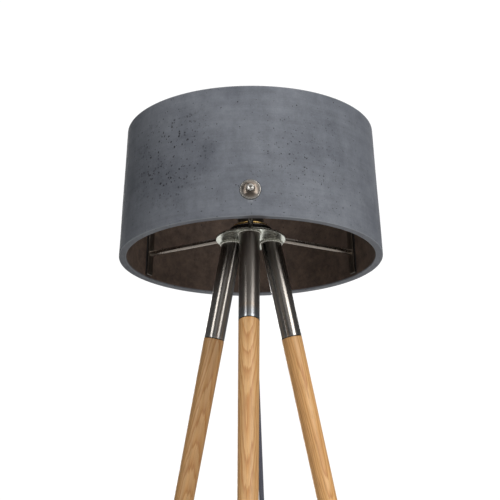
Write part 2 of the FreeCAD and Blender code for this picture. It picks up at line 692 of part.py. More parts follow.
# ---- coil and plug -------------------------------------------------------------------------------
def cord_coil():
    """The wound cord as one ring: two turns wide and two high."""
    inner, outer = COIL_INNER_TURN_R - CORD_R - 0.1, COIL_OUTER_TURN_R + CORD_R + 0.1
    ring = tube(outer, inner, 0, COIL_LAYERS_H)
    ring = ring.makeFillet(CORD_R - 0.4, [e for e in ring.Edges if hasattr(e.Curve, "Radius")])
    ring.translate(Vector(COIL_X, COIL_Y, 0))
    return ring


def along_plug(shape):
    """Lay a piece turned about Z along the plug's axis, pointing to -X from the cord's end."""
    shape.rotate(Vector(0, 0, 0), Vector(0, 1, 0), -90)
    shape.translate(Vector(PLUG_TIP_X, PLUG_Y, PLUG_Z))
    return shape


def plug_grip():
    return along_plug(turned([(0, 0), (GLAND_TIP_R, 0), (PLUG_GRIP_R, PLUG_GRIP_L), (0, PLUG_GRIP_L)]))


def plug_pin_places():
    return [(0.0, side * PIN_PITCH / 2) for side in (-1, 1)]


def plug_body():
    back, face = PLUG_GRIP_L, PLUG_GRIP_L + PLUG_L
    body = turned([
        (0, back), (PLUG_NOSE_R - 3, back), (PLUG_NOSE_R, back + 3), (PLUG_R - 2, back + 13),
        (PLUG_R, back + 17),
        (PLUG_R, face - 1), (PLUG_R - 1, face), (0, face),
    ])
    for x, y in plug_pin_places():
        body = body.cut(cylinder(PIN_R, face - PIN_DEEP, face + 1, x, y))
    for side in (-1, 1):
        low = side * (PLUG_R - CLIP_T) - CLIP_T
        corner = Vector(low, -CLIP_W / 2, face - CLIP_SLOT_L)
        body = body.cut(Part.makeBox(CLIP_T * 2, CLIP_W, CLIP_SLOT_L + 1, corner))
    return along_plug(body)


def plug_pins():
    face = PLUG_GRIP_L + PLUG_L
    pins = []
    for x, y in plug_pin_places():
        pin = cylinder(PIN_R, face - PIN_DEEP, face + PIN_L - 1.5, x, y)
        tip = cone(PIN_R, PIN_R * 0.5, face + PIN_L - 1.5, face + PIN_L, x, y)
        pins.append(pin.fuse(tip).removeSplitter())
    return along_plug(Part.makeCompound(pins))


def plug_earth_clips():
    """The sprung earth strips in the slots at the plug's two edges."""
    face = PLUG_GRIP_L + PLUG_L
    clips = []
    for side in (-1, 1):
        x = side * (PLUG_R - CLIP_T * 1.5)
        low = Vector(x - CLIP_T / 2, CLIP_SIDE_GAP - CLIP_W / 2, face - CLIP_SLOT_L + 0.5)
        clips.append(Part.makeBox(CLIP_T, CLIP_W - 2 * CLIP_SIDE_GAP, CLIP_L, low))
    return along_plug(Part.makeCompound(clips))


# ---- all nodes -----------------------------------------------------------------------------------
seat = seat_reach()
nodes = {
    "shade_ring": shade_ring(),
    "flat_washers": three(washer(FLAT_WASHER_R, seat, FLAT_WASHER_T)),
    "cup_washers": three(cup_washer()),
    "fixing_screws": three(fixing_screw()),
    "wall_gaskets": three(wall_gasket()),
    "wall_tabs": three(wall_tab()),
    "spider_hub": spider_hub(),
    "tripod_plate": tripod_plate(),
    "weld_beads": Part.makeCompound([turn(weld_bead(), angle + LEG_TURN) for _, angle in ARMS]),
    "threaded_nipple": threaded_nipple(),
    "lock_nut": hexagon(NUT_FLATS, LOCK_NUT_Z, PLATE_UNDER, NIPPLE_R + NUT_FIT),
    "cord_grip": cord_grip(),
    "cup_cover": cup_cover(),
    "holder_body": holder_body(),
    "holder_nut": hexagon(NUT_FLATS, HOLDER_NUT_Z, LUG_Z, NIPPLE_R + NUT_FIT),
    "earth_lug": tube(LUG_R, NIPPLE_R + NUT_FIT, LUG_Z, LUG_Z + LUG_T),
    "porcelain_insert": porcelain_insert(),
    "terminal_screws": terminal_screws(),
    "thread_shell": thread_shell(),
    "centre_contact": centre_contact(),
    "holder_collar": holder_collar(),
    "inner_wires": inner_wires(),
    "bulb_tip": cylinder(TIP_R, TIP_Z, TIP_Z + TIP_T),
    "bulb_insulator": bulb_insulator(),
    "bulb_cap": bulb_cap(),
    "bulb_glass": bulb_glass(),
    "bulb_stem": bulb_stem(),
    "bulb_filaments": bulb_filaments(),
    "cord_drop": cord_tube("cord_drop", DROP_ROUTE, CORD_R),
    "switch_pad": switch_pad(),
    "switch_base": switch_base(),
    "switch_cover": switch_cover(),
    "switch_button": switch_button(),
    "switch_contacts": switch_contacts(),
    "switch_screws": switch_screws(),
    "switch_glands": switch_glands(),
    "cord_lead_in": cord_tube("cord_lead_in", LEAD_IN_ROUTE, CORD_R),
    "cord_coil": cord_coil(),
    "cord_lead_out": cord_tube("cord_lead_out", LEAD_OUT_ROUTE, CORD_R),
    "plug_grip": plug_grip(),
    "plug_body": plug_body(),
    "plug_pins": plug_pins(),
    "plug_earth_clips": plug_earth_clips(),
}
for name, angle in ARMS:
    nodes["spider_rod_" + name] = turn(spider_rod(), angle)
    nodes["sleeve_" + name] = turn(sleeve(), angle + LEG_TURN)
    nodes["leg_" + name] = turn(wood_leg(), angle + LEG_TURN)
    nodes["foot_pad_" + name] = turn(foot_pad(), angle + LEG_TURN)

for name, shape in nodes.items():
    if not shape.isValid() or shape.Volume <= 0:
        raise ValueError(f"{name} is not a sound solid")
    shape.exportStep(f"parts/{name}.step")
print(len(nodes), "nodes")
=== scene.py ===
"""Tripod lamp with a cast concrete ring shade, dressed round its CAD frame. Lengths are in metres."""
from functools import partial

import bmesh
import bpy
import numpy as np
from mathutils import Matrix, Vector


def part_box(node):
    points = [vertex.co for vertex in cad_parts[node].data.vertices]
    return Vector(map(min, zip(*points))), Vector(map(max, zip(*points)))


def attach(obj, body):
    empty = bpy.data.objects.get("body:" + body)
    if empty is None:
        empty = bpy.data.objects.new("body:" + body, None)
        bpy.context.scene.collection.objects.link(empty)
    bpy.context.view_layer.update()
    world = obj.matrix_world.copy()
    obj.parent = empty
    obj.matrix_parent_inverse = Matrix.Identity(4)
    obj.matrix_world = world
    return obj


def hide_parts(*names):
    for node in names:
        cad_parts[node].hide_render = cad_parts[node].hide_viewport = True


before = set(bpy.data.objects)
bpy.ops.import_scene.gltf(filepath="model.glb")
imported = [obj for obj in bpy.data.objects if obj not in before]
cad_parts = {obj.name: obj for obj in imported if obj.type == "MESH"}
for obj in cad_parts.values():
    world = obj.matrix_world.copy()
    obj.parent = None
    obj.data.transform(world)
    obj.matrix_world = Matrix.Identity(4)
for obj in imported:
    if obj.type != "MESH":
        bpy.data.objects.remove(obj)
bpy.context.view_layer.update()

# ---- Camera, floor and lights ----
# The camera stands low in front of the lamp and looks up at the shade. Two tall soft boxes stand in
# front at the left and right, a broad one hangs above, and the pale floor sends light up underneath.
CAMERA_HEIGHT = 0.63208
CAMERA_DISTANCE = 2.11093
CAMERA_PITCH = 0.31292
CAMERA_YAW = 0.00062
CAMERA_ROLL = -0.00832
FLOOR_REACH = 40.0


def put(name, data):
    """An object in the scene that shows the data."""
    made = bpy.data.objects.new(name, data)
    bpy.context.scene.collection.objects.link(made)
    return made


camera = bpy.data.cameras.new("camera")
camera.lens = 105.136
camera.sensor_width = 36.0
camera_stand = put("camera", camera)
camera_stand.matrix_world = (
    Matrix.Translation((0.0, -CAMERA_DISTANCE, CAMERA_HEIGHT))
    @ Matrix.Rotation(CAMERA_YAW, 4, "Z")
    @ Matrix.Rotation(np.pi / 2 + CAMERA_PITCH, 4, "X")
    @ Matrix.Rotation(CAMERA_ROLL, 4, "Z")
)
bpy.context.scene.camera = camera_stand
bpy.context.scene.view_settings.view_transform = "Standard"


def feed(node, feeds):
    """Gives a node's inputs their values, or links them to other sockets."""
    for key, value in feeds.items():
        if isinstance(value, bpy.types.NodeSocket):
            node.id_data.links.new(value, node.inputs[key])
        else:
            node.inputs[key].default_value = value
    return node


def add(tree, kind, feeds=None, **settings):
    """Adds a shader node, sets its properties and feeds its inputs."""
    made = tree.nodes.new("ShaderNode" + kind)
    for key, value in settings.items():
        setattr(made, key, value)
    return feed(made, feeds or {})


def home(*values):
    """The node tree that the first socket among the values belongs to."""
    return next(value.id_data for value in values if isinstance(value, bpy.types.NodeSocket))


def calc(operation, *values):
    """One Math node."""
    return add(home(*values), "Math", dict(enumerate(values)), operation=operation).outputs[0]


times, plus, less = (partial(calc, operation) for operation in ("MULTIPLY", "ADD", "SUBTRACT"))


def vector(operation, *values):
    """One Vector Math node. Lengths and distances come out as a value."""
    made = add(home(*values), "VectorMath", dict(enumerate(values)), operation=operation)
    return made.outputs["Value" if operation in ("LENGTH", "DISTANCE") else "Vector"]


def noise(place, scale, detail=2.0, roughness=0.5, stretch=None, output="Fac"):
    """Noise. A stretch squeezes the place along its axes first, which draws the pattern out."""
    if stretch:
        place = vector("MULTIPLY", place, stretch)
    return add(home(place), "TexNoise", {"Vector": place, "Scale": scale, "Detail": detail,
                                         "Roughness": roughness}).outputs[output]


def span(value, start, end, low=0.0, high=1.0, curve="SMOOTHSTEP"):
    """Low up to start and high from end, with a smooth or a LINEAR change between."""
    return add(home(value), "MapRange", {"Value": value, "From Min": start, "From Max": end, "To Min": low,
                                         "To Max": high}, interpolation_type=curve).outputs["Result"]


def ramp(value, *stops):
    """Colour ramp through stops of position and colour."""
    made = add(home(value), "ValToRGB", {"Fac": value})
    line = made.color_ramp.elements
    line[0].position, line[1].position = stops[0][0], stops[-1][0]
    for spot, _ in stops[1:-1]:
        line.new(spot)
    for element, (_, colour) in zip(line, stops):
        element.color = colour
    return made.outputs["Color"]


def tone(red, green, blue):
    """Colour from 0-255 screen numbers: each c becomes ((c/255 + 0.055) / 1.055) to the power 2.4."""
    return (*(float(((c / 255 + 0.055) / 1.055) ** 2.4) for c in (red, green, blue)), 1.0)


def new_finish(name, colour, roughness, metallic=0.0, **sockets):
    """A material, its node tree, its Principled shader and the object's own coordinates."""
    material = bpy.data.materials.new(name)
    material.use_nodes = True
    tree = material.node_tree
    paint = feed(tree.nodes["Principled BSDF"], {
        "Base Color": colour, "Roughness": roughness, "Metallic": metallic,
        **{key.replace("_", " "): value for key, value in sockets.items()}})
    return material, tree, paint, add(tree, "TexCoord").outputs["Object"]


def floor_finish():
    """Warm white studio floor with a trace of unevenness, which fades into the white backdrop away from
    the lamp where the camera sees it."""
    material, tree, paint, place = new_finish("studio_floor", tone(220, 220, 218), 0.7)
    feed(paint, {"Base Color": ramp(noise(place, 1.5, 3.0), (0.0, tone(214, 213, 211)),
                                    (1.0, tone(228, 228, 227)))})
    fade = times(span(vector("LENGTH", place), 0.9, 4.5), add(tree, "LightPath").outputs["Is Camera Ray"])
    white = add(tree, "Emission", {"Color": (1, 1, 1, 1), "Strength": 1.0})
    mixed = add(tree, "MixShader", {0: fade, 1: paint.outputs[0], 2: white.outputs[0]})
    feed(tree.nodes["Material Output"], {"Surface": mixed.outputs[0]})
    return material


corners = [(x * FLOOR_REACH, y * FLOOR_REACH, 0) for x, y in ((-1, -1), (1, -1), (1, 1), (-1, 1))]
floor_mesh = bpy.data.meshes.new("studio_floor")
floor_mesh.from_pydata(corners, [], [(0, 1, 2, 3)])
floor_mesh.materials.append(floor_finish())
put("studio_floor", floor_mesh)

# Each soft box: its place, the point it is turned to, its width, height and watts.
for name, place, aim, width, height, watts in (
        ("key_right", (1.58, -1.98, 2.6), (0.0, 0.0, 2.4), 1.25, 3.8, 76.0),
        ("fill_left", (-1.54, -2.02, 2.6), (0.0, 0.0, 2.4), 0.72, 3.8, 38.0),
        ("front_panel", (0.3, -4.0, 2.9), (0.0, 0.0, 1.9), 1.7, 3.4, 10.0),
        ("overhead", (0.5, -0.5, 3.4), (0.0, 0.0, 1.35), 2.0, 2.0, 18.0),
        ("back_wash", (0.0, 3.8, 3.0), (0.0, 3.4, 0.0), 4.0, 3.0, 170.0),
        ("back_left", (-1.2, 3.6, 1.9), (0.0, 0.0, 0.9), 1.0, 1.8, 30.0)):
    light = bpy.data.lights.new(name, "AREA")
    light.shape = "RECTANGLE"
    light.size, light.size_y = width, height
    light.energy = watts
    turn = (Vector(aim) - Vector(place)).to_track_quat("-Z", "Y")
    put(name, light).matrix_world = Matrix.Translation(place) @ turn.to_matrix().to_4x4()

world = bpy.data.worlds.new("studio")
bpy.context.scene.world = world
world.use_nodes = True
sky = world.node_tree
dim = feed(sky.nodes["Background"], {"Color": (0.92, 0.95, 1.0, 1), "Strength": 0.16})
white = add(sky, "Background", {"Color": (1, 1, 1, 1), "Strength": 1.05})
both = add(sky, "MixShader", {0: add(sky, "LightPath").outputs["Is Camera Ray"], 1: dim.outputs[0],
                              2: white.outputs[0]})
feed(sky.nodes["World Output"], {"Surface": both.outputs[0]})

# ---- Concrete shade ring ----
# A ring cast in dark blue-grey concrete, 11 mm thick and a little narrower at the top, open at both
# ends. Its edges are rubbed round, and each fixing screw has a small flat seat ground in the wall.
shade_low, shade_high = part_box("shade_ring")
RIM_Z, SHADE_TOP_Z = float(shade_low[2]), float(shade_high[2])
SHADE_H = SHADE_TOP_Z - RIM_Z
SHADE_R_LOW = 0.200
SHADE_R_TOP = 0.190
SHADE_WALL = 0.011
SHADE_END = 0.004
ARM_Z = RIM_Z + 0.040
ARM_TURNS = {"front": 0.0, "right": 120.0, "left": -120.0}
WASHER_T = 0.0016
SEAT_REACH = -float(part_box("flat_washers")[0][1]) - WASHER_T
SEAT_R = 0.0155
SEAT_BLEND = 0.0006


def rounded(points, radius, steps=4):
    """Closed outline with its corners rounded: at each corner the curve
    (1-t)^2 A + 2t(1-t) Q + t^2 B runs between points cut back along the two sides. Corners on the
    axis stay sharp."""
    corner = np.asarray(points, float)
    before, after = np.roll(corner, 1, 0) - corner, np.roll(corner, -1, 0) - corner
    long_a = np.linalg.norm(before, axis=1, keepdims=True)
    long_b = np.linalg.norm(after, axis=1, keepdims=True)
    cut = np.minimum(np.minimum(long_a, long_b) * 0.45, np.reshape(radius, (-1, 1)))
    cut = cut * (np.abs(corner[:, :1]) > 1e-9)
    start, end = corner + before / long_a * cut, corner + after / long_b * cut
    t = np.linspace(0, 1, steps)[None, :, None]
    curve = (1 - t) ** 2 * start[:, None] + 2 * t * (1 - t) * corner[:, None] + t ** 2 * end[:, None]
    return curve.reshape(-1, 2)


def round_angles(columns):
    """Even angles once round."""
    return np.arange(columns) / columns * 2 * np.pi


def around(r, z, a):
    """Points (r cos a, r sin a, z)."""
    return np.stack(np.broadcast_arrays(r * np.cos(a), r * np.sin(a), z), -1)


def lathe(outline, columns=96):
    """Grid of a turned shape: each (r, z) of the outline is carried round Z."""
    r, z = np.asarray(outline, float).T[..., None]
    return around(r, z, round_angles(columns))


def turned(grid, degrees):
    """The grid turned about Z: x' = x cos a - y sin a, y' = x sin a + y cos a."""
    a = np.radians(degrees)
    spin = np.array([[np.cos(a), -np.sin(a), 0], [np.sin(a), np.cos(a), 0], [0, 0, 1]])
    return grid @ spin.T


def edge_mark(grid):
    """How sharply the surface turns from row to row, 0 on a flat run and 1 on a rounded edge."""
    step = np.diff(np.concatenate([grid[-1:], grid, grid[:1]]), axis=0)
    step = step / np.maximum(np.linalg.norm(step, axis=-1, keepdims=True), 1e-9)
    return np.clip((1 - (step[1:] * step[:-1]).sum(-1)) * 12, 0, 1)


def mesh_piece(name, grids, material, replaces="", body="stand", marks=None, sharp=50.0):
    """One piece from grids of points, rows by columns. Columns close into loops and quads join row i to
    row i+1. Rows drawn in to one point make poles. Where the first row is no pole, the last row joins
    it. The piece stands for the CAD nodes named in replaces."""
    faces, base = [], 0
    for grid in grids:
        rows, cols = grid.shape[:2]
        closed = np.ptp(grid[0], axis=0).max() > 1e-9
        i, j = np.meshgrid(np.arange(rows if closed else rows - 1), np.arange(cols), indexing="ij")
        beside, above = (j + 1) % cols, (i + 1) % rows
        quads = np.stack([i * cols + j, i * cols + beside, above * cols + beside, above * cols + j], -1)
        faces.append(quads.reshape(-1, 4) + base)
        base += rows * cols
    mesh = bpy.data.meshes.new(name)
    mesh.from_pydata(np.concatenate([g.reshape(-1, 3) for g in grids]).tolist(), [],
                     np.concatenate(faces).tolist())
    marks = {"edge": np.concatenate([edge_mark(g).ravel() for g in grids]), **(marks or {})}
    for label, values in marks.items():
        kind, field = ("FLOAT_VECTOR", "vector") if np.ndim(values) == 2 else ("FLOAT", "value")
        mark = mesh.attributes.new(label, kind, "POINT")
        mark.data.foreach_set(field, np.asarray(values, np.float32).ravel())
    tidy = bmesh.new()
    tidy.from_mesh(mesh)
    bmesh.ops.remove_doubles(tidy, verts=tidy.verts, dist=1e-7)
    bmesh.ops.recalc_face_normals(tidy, faces=tidy.faces)
    tidy.to_mesh(mesh)
    tidy.free()
    mesh.shade_smooth()
    mesh.set_sharp_from_angle(angle=np.radians(sharp))
    mesh.materials.append(material)
    piece = put(name, mesh)
    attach(piece, body)
    if replaces:
        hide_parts(*replaces.split())
    return piece


def cone(z):
    """The ring's outer radius at a height above the rim."""
    return SHADE_R_LOW + (SHADE_R_TOP - SHADE_R_LOW) * z / SHADE_H


def shade_grid():
    """The ring's section carried round Z, and a mark for its inside. Rows crowd at the screws' height and
    columns at their azimuths; there the outer radius is the lesser of the cone's and seat / cos(angle)."""
    near = np.linspace(-6, 6, 56)
    angle = np.unique(np.concatenate(
        [np.linspace(0, 360, 301)[:-1]] + [(near + turn - 90) % 360 for turn in ARM_TURNS.values()]))
    a = np.radians(angle)
    ends = np.array([0.0035, SHADE_H - 0.0035])
    outer_z = np.unique(np.concatenate([np.linspace(*ends, 26), np.linspace(0.0235, 0.0565, 36)]))
    inner_z = np.linspace(*ends[::-1], 22)
    high = SHADE_H - SHADE_END
    low = rounded([(SHADE_R_LOW - SHADE_WALL, 0), (SHADE_R_LOW, 0), (cone(SHADE_END), SHADE_END),
                   (cone(SHADE_END) - SHADE_WALL, SHADE_END)], [0.0016, 0.0013, 0, 0], 5)[:10]
    top = rounded([(SHADE_R_TOP, SHADE_H), (SHADE_R_TOP - SHADE_WALL, SHADE_H), (cone(high) - SHADE_WALL, high),
                   (cone(high), high)], [0.0014, 0.0017, 0, 0], 5)[:10]
    outer = np.stack([cone(outer_z), outer_z], -1)
    inner = np.stack([cone(inner_z) - SHADE_WALL, inner_z], -1)
    r, z = np.concatenate([low, outer, top, inner]).T[..., None]
    wave = 0.00022 * np.sin(3 * a + 0.7) + 0.00012 * np.sin(7 * a + 9 * z / SHADE_H)
    r = r - 0.00034 + wave * np.clip(z / 0.03, 0.2, 1)
    for turn in ARM_TURNS.values():
        off = np.radians((angle - turn + 270) % 360 - 180)
        held = np.clip(off, -0.3, 0.3)
        spread = np.hypot(SEAT_REACH * np.tan(held), z + RIM_Z - ARM_Z)
        blend = np.clip((SEAT_R + SEAT_BLEND - spread) / SEAT_BLEND, 0, 1) * (np.abs(off) < 0.2)
        r = r - blend * (r > SEAT_REACH - 0.004) * np.maximum(r - SEAT_REACH / np.cos(held), 0)
    inside = np.repeat(np.arange(len(r)) >= len(r) - len(inner), len(a))
    return around(r, z + RIM_Z, a), inside


def shared_group(name, inputs, outputs):
    """A shader node group with its sockets: its tree, its incoming sockets and its output node."""
    tree = bpy.data.node_groups.new(name, "ShaderNodeTree")
    for side, sockets in (("INPUT", inputs), ("OUTPUT", outputs)):
        for label, kind in sockets.items():
            tree.interface.new_socket(label, in_out=side, socket_type="NodeSocket" + kind)
    return tree, tree.nodes.new("NodeGroupInput").outputs, tree.nodes.new("NodeGroupOutput")


def weigh(start, *shares):
    """The start plus the sum of each pattern times its share."""
    for pattern, share in shares:
        start = plus(start, times(pattern, share))
    return start


def step_down(value, start, end):
    """1 below start, falling smoothly to 0 at end."""
    return span(value, start, end, 1.0, 0.0)


def parts(value):
    """The three numbers of a vector."""
    return add(home(value), "SeparateXYZ", {0: value}).outputs


def marked(tree, name, output="Fac"):
    """A mark that the mesh carries on its points."""
    return add(tree, "Attribute", attribute_name=name).outputs[output]


def bump(height, strength, distance):
    """Normal that shows a height as fine relief."""
    return add(home(height), "Bump", {"Height": height, "Strength": strength,
                                      "Distance": distance}).outputs["Normal"]


def tint(amount, low, high, blend="MIX"):
    """Mixes two colours by an amount."""
    return add(home(amount, low, high), "Mix", {0: amount, 6: low, 7: high}, data_type="RGBA",
               blend_type=blend).outputs[2]


def scaled(colour, factor):
    """The colour times a grey or another colour."""
    return tint(1.0, colour, factor, "MULTIPLY")


# Round air holes: one hole in some of the cells of a Voronoi pattern, each with its own radius.
air_holes, hole_in, hole_out = shared_group(
    "air_holes", {"Vector": "Vector", "Scale": "Float", "Radius": "Float", "Share": "Float"}, {"Mask": "Float"})
cells = add(air_holes, "TexVoronoi", {"Vector": hole_in["Vector"], "Scale": hole_in["Scale"]}).outputs
lot = add(air_holes, "SeparateColor", {0: cells["Color"]}).outputs
own = times(hole_in["Radius"], plus(0.35, lot[1]))
filled = step_down(calc("DIVIDE", cells["Distance"], own), 0.75, 1.05)
feed(hole_out, {"Mask": times(filled, calc("LESS_THAN", lot[0], hole_in["Share"]))})


def concrete_finish():
    """Fine dark concrete: cloudy tone, faint marks of the form, air holes with painted shade in them, paler
    rounded edges, a browner inside darkened with painted shade, painted shade on the left side, and one dark
    smudge under the front rim."""
    material, tree, paint, place = new_finish("cast_concrete", tone(116, 117, 124), 0.78,
                                              Specular_IOR_Level=0.2)
    cloud = noise(place, 9.0, 6.0, 0.62)
    grit = noise(place, 420.0, 4.0, 0.7)
    patchy = noise(place, 55.0, 8.0, 0.78)
    lines = noise(place, 1.0, 6.0, 0.7, (7.0, 7.0, 130.0))
    runs = noise(place, 1.0, stretch=(90.0, 90.0, 6.0))
    toned = scaled(ramp(cloud, (0.28, tone(87, 90, 97)), (0.74, tone(117, 120, 126))),
                   weigh(0.14, (lines, 0.40), (runs, 0.18), (grit, 0.34), (patchy, 0.62)))
    # Painted shade: the concrete darkens towards the left side, down to 0.6 at the far left edge.
    toned = scaled(toned, span(parts(place)[0], -0.20, -0.10, 0.60, 1.0))
    # The inside gets a browner tone that is also much darker: that darkness is painted shade inside the ring.
    brown_and_shaded_inside = tint(span(patchy, 0.32, 0.68, curve="LINEAR"), tone(50, 40, 34), tone(86, 71, 61))
    toned = tint(marked(tree, "inside"), toned, brown_and_shaded_inside)
    # Rounded edges are made paler.
    toned = tint(times(marked(tree, "edge"), 0.40), toned, tone(140, 143, 146))
    shove = vector("MULTIPLY", noise(place, 300.0, 3.0, output="Color"), (0.004, 0.004, 0.004))
    uneven = vector("ADD", place, shove)

    def pitted(scale, radius, share, centre=None, near=0.0, far=0.0):
        """Air holes everywhere, or only round a centre, thinning out from near to far."""
        found = add(tree, "Group", {"Vector": uneven, "Scale": scale, "Radius": radius, "Share": share},
                    node_tree=air_holes).outputs[0]
        return times(found, step_down(vector("DISTANCE", place, centre), near, far)) if centre else found

    holes = calc("MAXIMUM", pitted(330.0, 0.26, 0.10), pitted(90.0, 0.10, 0.10))
    holes = calc("MAXIMUM", holes, pitted(260.0, 0.42, 0.34, (-0.118, -0.155, 1.405), 0.030, 0.095))
    holes = calc("MAXIMUM", holes, pitted(330.0, 0.30, 0.30, (0.085, -0.18, 1.385), 0.02, 0.11))
    # Painted shade: the air holes are coloured dark, as the shade inside them.
    toned = tint(times(holes, 0.85), toned, tone(34, 33, 36))
    # A dark smudge on the underside of the front rim.
    squeeze = vector("MULTIPLY", vector("SUBTRACT", place, (0.007, -0.194, RIM_Z)), (1.0, 1.6, 9.0))
    rim_smudge = step_down(plus(vector("LENGTH", squeeze), times(cloud, 0.012)), 0.014, 0.028)
    feed(paint, {"Base Color": tint(times(rim_smudge, 0.75), toned, tone(58, 54, 53)),
                 "Roughness": weigh(0.66, (cloud, 0.22)),
                 "Normal": bump(weigh(0.0, (grit, 0.25), (holes, -1.0)), 0.55, 0.0009)})
    return material


shade_points, shade_inside = shade_grid()
mesh_piece("concrete_ring", [shade_points], concrete_finish(), "shade_ring",
           marks={"inside": shade_inside})

# ---- Fixing screws and washers ----
# Each arm of the spider is held by a stainless M6 cap screw through the wall, on a dished cup washer
# and a broad flat washer. All are turned or pressed parts with rolled edges and light wear.
WASHER_R = 0.0145
CUP_WASHER_R = 0.012
CUP_WASHER_TOP_R = 0.007
CUP_WASHER_H = 0.003
CUP_WASHER_T = 0.001
SCREW_R = 0.003
SCREW_HEAD_R = 0.005
SOCKET_FLATS = 0.005
SOCKET_DEEP = 0.003
SCREW_HOLE_R = SCREW_R + 0.00005

# Rubbed metal or plastic: broad smears, fine scuffs and a change of colour on the marked edges, which is rubbed
# wear on most finishes and painted shade on the head plate.
wear, wear_in, wear_out = shared_group(
    "wear", {"Vector": "Vector", "Scale": "Float", "Colour": "Color", "Edge colour": "Color",
             "Edge amount": "Float", "Roughness": "Float", "Relief": "Float"},
    {"Colour": "Color", "Roughness": "Float", "Normal": "Vector"})
smear = noise(wear_in["Vector"], wear_in["Scale"], 5.0)
scuff = noise(wear_in["Vector"], times(wear_in["Scale"], 14.0), 4.0, 0.7)
edge_wear_and_shade = times(times(marked(wear, "edge"), wear_in["Edge amount"]), plus(scuff, 0.4))
dull = scaled(wear_in["Colour"], weigh(0.74, (smear, 0.5)))
rough = weigh(wear_in["Roughness"], (less(smear, 0.5), 0.35), (less(scuff, 0.5), 0.15))
feed(wear_out, {"Colour": tint(edge_wear_and_shade, dull, wear_in["Edge colour"]), "Roughness": calc("MAXIMUM", rough, 0.04),
                "Normal": bump(scuff, wear_in["Relief"], 0.0003)})


def rub(tree, place, colour, roughness, scale, edge, edge_amount, relief):
    """The wear group in a material."""
    return add(tree, "Group", {"Vector": place, "Scale": scale, "Colour": colour, "Edge colour": edge,
                               "Edge amount": edge_amount, "Roughness": roughness, "Relief": relief},
               node_tree=wear).outputs


def worn_finish(name, screen, roughness, metallic, scale, edge, edge_amount, relief, stretch=None, **sockets):
    """A finish whose colour, gloss and fine relief come from the wear group, from two screen colours. A
    stretch squeezes the pattern into long marks along one axis."""
    material, tree, paint, place = new_finish(name, tone(*screen), roughness, metallic, **sockets)
    if stretch:
        place = vector("MULTIPLY", place, stretch)
    rubbed = rub(tree, place, tone(*screen), roughness, scale, tone(*edge), edge_amount, relief)
    feed(paint, {"Base Color": rubbed["Colour"], "Roughness": rubbed["Roughness"], "Normal": rubbed["Normal"]})
    return material


def facing_out(grid):
    """A shape turned about Z laid along the front arm: its z becomes the distance from the shade's axis."""
    return np.stack([grid[..., 0], -grid[..., 2], ARM_Z + grid[..., 1]], -1)


def at_arms(grid):
    """The front arm's shape at all three arms."""
    return [turned(grid, turn) for turn in ARM_TURNS.values()]


def washers(corners, edges):
    """A rounded section turned about the arm's axis, at all three arms."""
    return at_arms(facing_out(lathe(rounded(corners, edges), 120)))


def ring_corners(bore_r, outer_r, low, high):
    """Section of a flat ring."""
    return [(bore_r, low), (outer_r, low), (outer_r, high), (bore_r, high)]


def hexagon(a, flats):
    """Radius of a hexagon at an angle: half its width across flats / cos(a folded to 30 degrees)."""
    return flats / 2 / np.cos((a + np.pi / 6) % (np.pi / 3) - np.pi / 6)


def socket_screw(head_low, head_high, shank_end):
    """Cap screw. The socket's rows follow the hexagon, and all other rows are round."""
    grid = lathe([
        (0, shank_end), (SCREW_R - 0.0004, shank_end), (SCREW_R, shank_end + 0.0005),
        (SCREW_R, head_low - 0.0002), (SCREW_R, head_low), (SCREW_HEAD_R - 0.0002, head_low),
        (SCREW_HEAD_R, head_low + 0.0003), (SCREW_HEAD_R, head_high - 0.0009),
        (SCREW_HEAD_R - 0.00015, head_high - 0.00045), (SCREW_HEAD_R - 0.0005, head_high - 0.00012),
        (SCREW_HEAD_R - 0.0009, head_high)])
    wide, deep, cornered = np.array([
        (1.1, 0.0, 0.0), (1.0, 0.00025, 1.0), (1.0, SOCKET_DEEP, 1.0), (0.55, SOCKET_DEEP + 0.0004, 0.6),
        (0.0, SOCKET_DEEP + 0.0007, 0.0)]).T[..., None]
    a = round_angles(96)
    r = wide * (cornered * hexagon(a, SOCKET_FLATS) + (1 - cornered) * SOCKET_FLATS / 2 * 1.06)
    return np.concatenate([grid, around(r, head_high - deep, a)])


bright_steel = worn_finish("bright_steel", (130, 124, 117), 0.24, 1.0, 90.0, (215, 212, 206), 0.8, 0.03)
# The dished washers' stainless is darker and browner than the other screws' steel: that darkness is painted
# shade and reflection in the dish.
dish_steel_with_painted_shade = worn_finish("dished_steel", (96, 86, 77), 0.26, 1.0, 90.0, (205, 200, 192), 0.8, 0.05)
rubber = worn_finish("rubber", (26, 26, 27), 0.75, 0.0, 120.0, (48, 48, 49), 0.4, 0.3)
ring_top, cup_low = SEAT_REACH + 0.0005, SEAT_REACH + WASHER_T
# The black rubber rings under the washers also stand for the shadow line round each washer: a dark ring put
# where shade falls.
seat_ring_and_shadow_line = rounded(ring_corners(SCREW_HOLE_R, SEAT_R - 0.0002, SEAT_REACH - 0.0001, ring_top),
                    [0.0001, 0.0001, 0.0002, 0.0001])
mesh_piece("seat_rings_and_shadow_line", at_arms(facing_out(lathe(seat_ring_and_shadow_line))), rubber)
mesh_piece("broad_washers", washers(ring_corners(SCREW_HOLE_R, WASHER_R, ring_top, cup_low),
                                    [0.0001, 0.0002, 0.0005, 0.0003]),
           bright_steel, "flat_washers")
head_low = cup_low + CUP_WASHER_H
cup_corners = [
    (SCREW_HOLE_R, head_low - CUP_WASHER_T), (CUP_WASHER_TOP_R - CUP_WASHER_T / 2, head_low - CUP_WASHER_T),
    (CUP_WASHER_R - CUP_WASHER_T, cup_low), (CUP_WASHER_R, cup_low), (CUP_WASHER_R, cup_low + CUP_WASHER_T / 2),
    (CUP_WASHER_TOP_R, head_low), (SCREW_HOLE_R, head_low)]
mesh_piece("dished_washers", washers(cup_corners, [0.0001, 0.0004, 0.0002, 0.0002, 0.0003, 0.0009, 0.0003]),
           dish_steel_with_painted_shade, "cup_washers")
screw_far = -float(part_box("fixing_screws")[0][1])
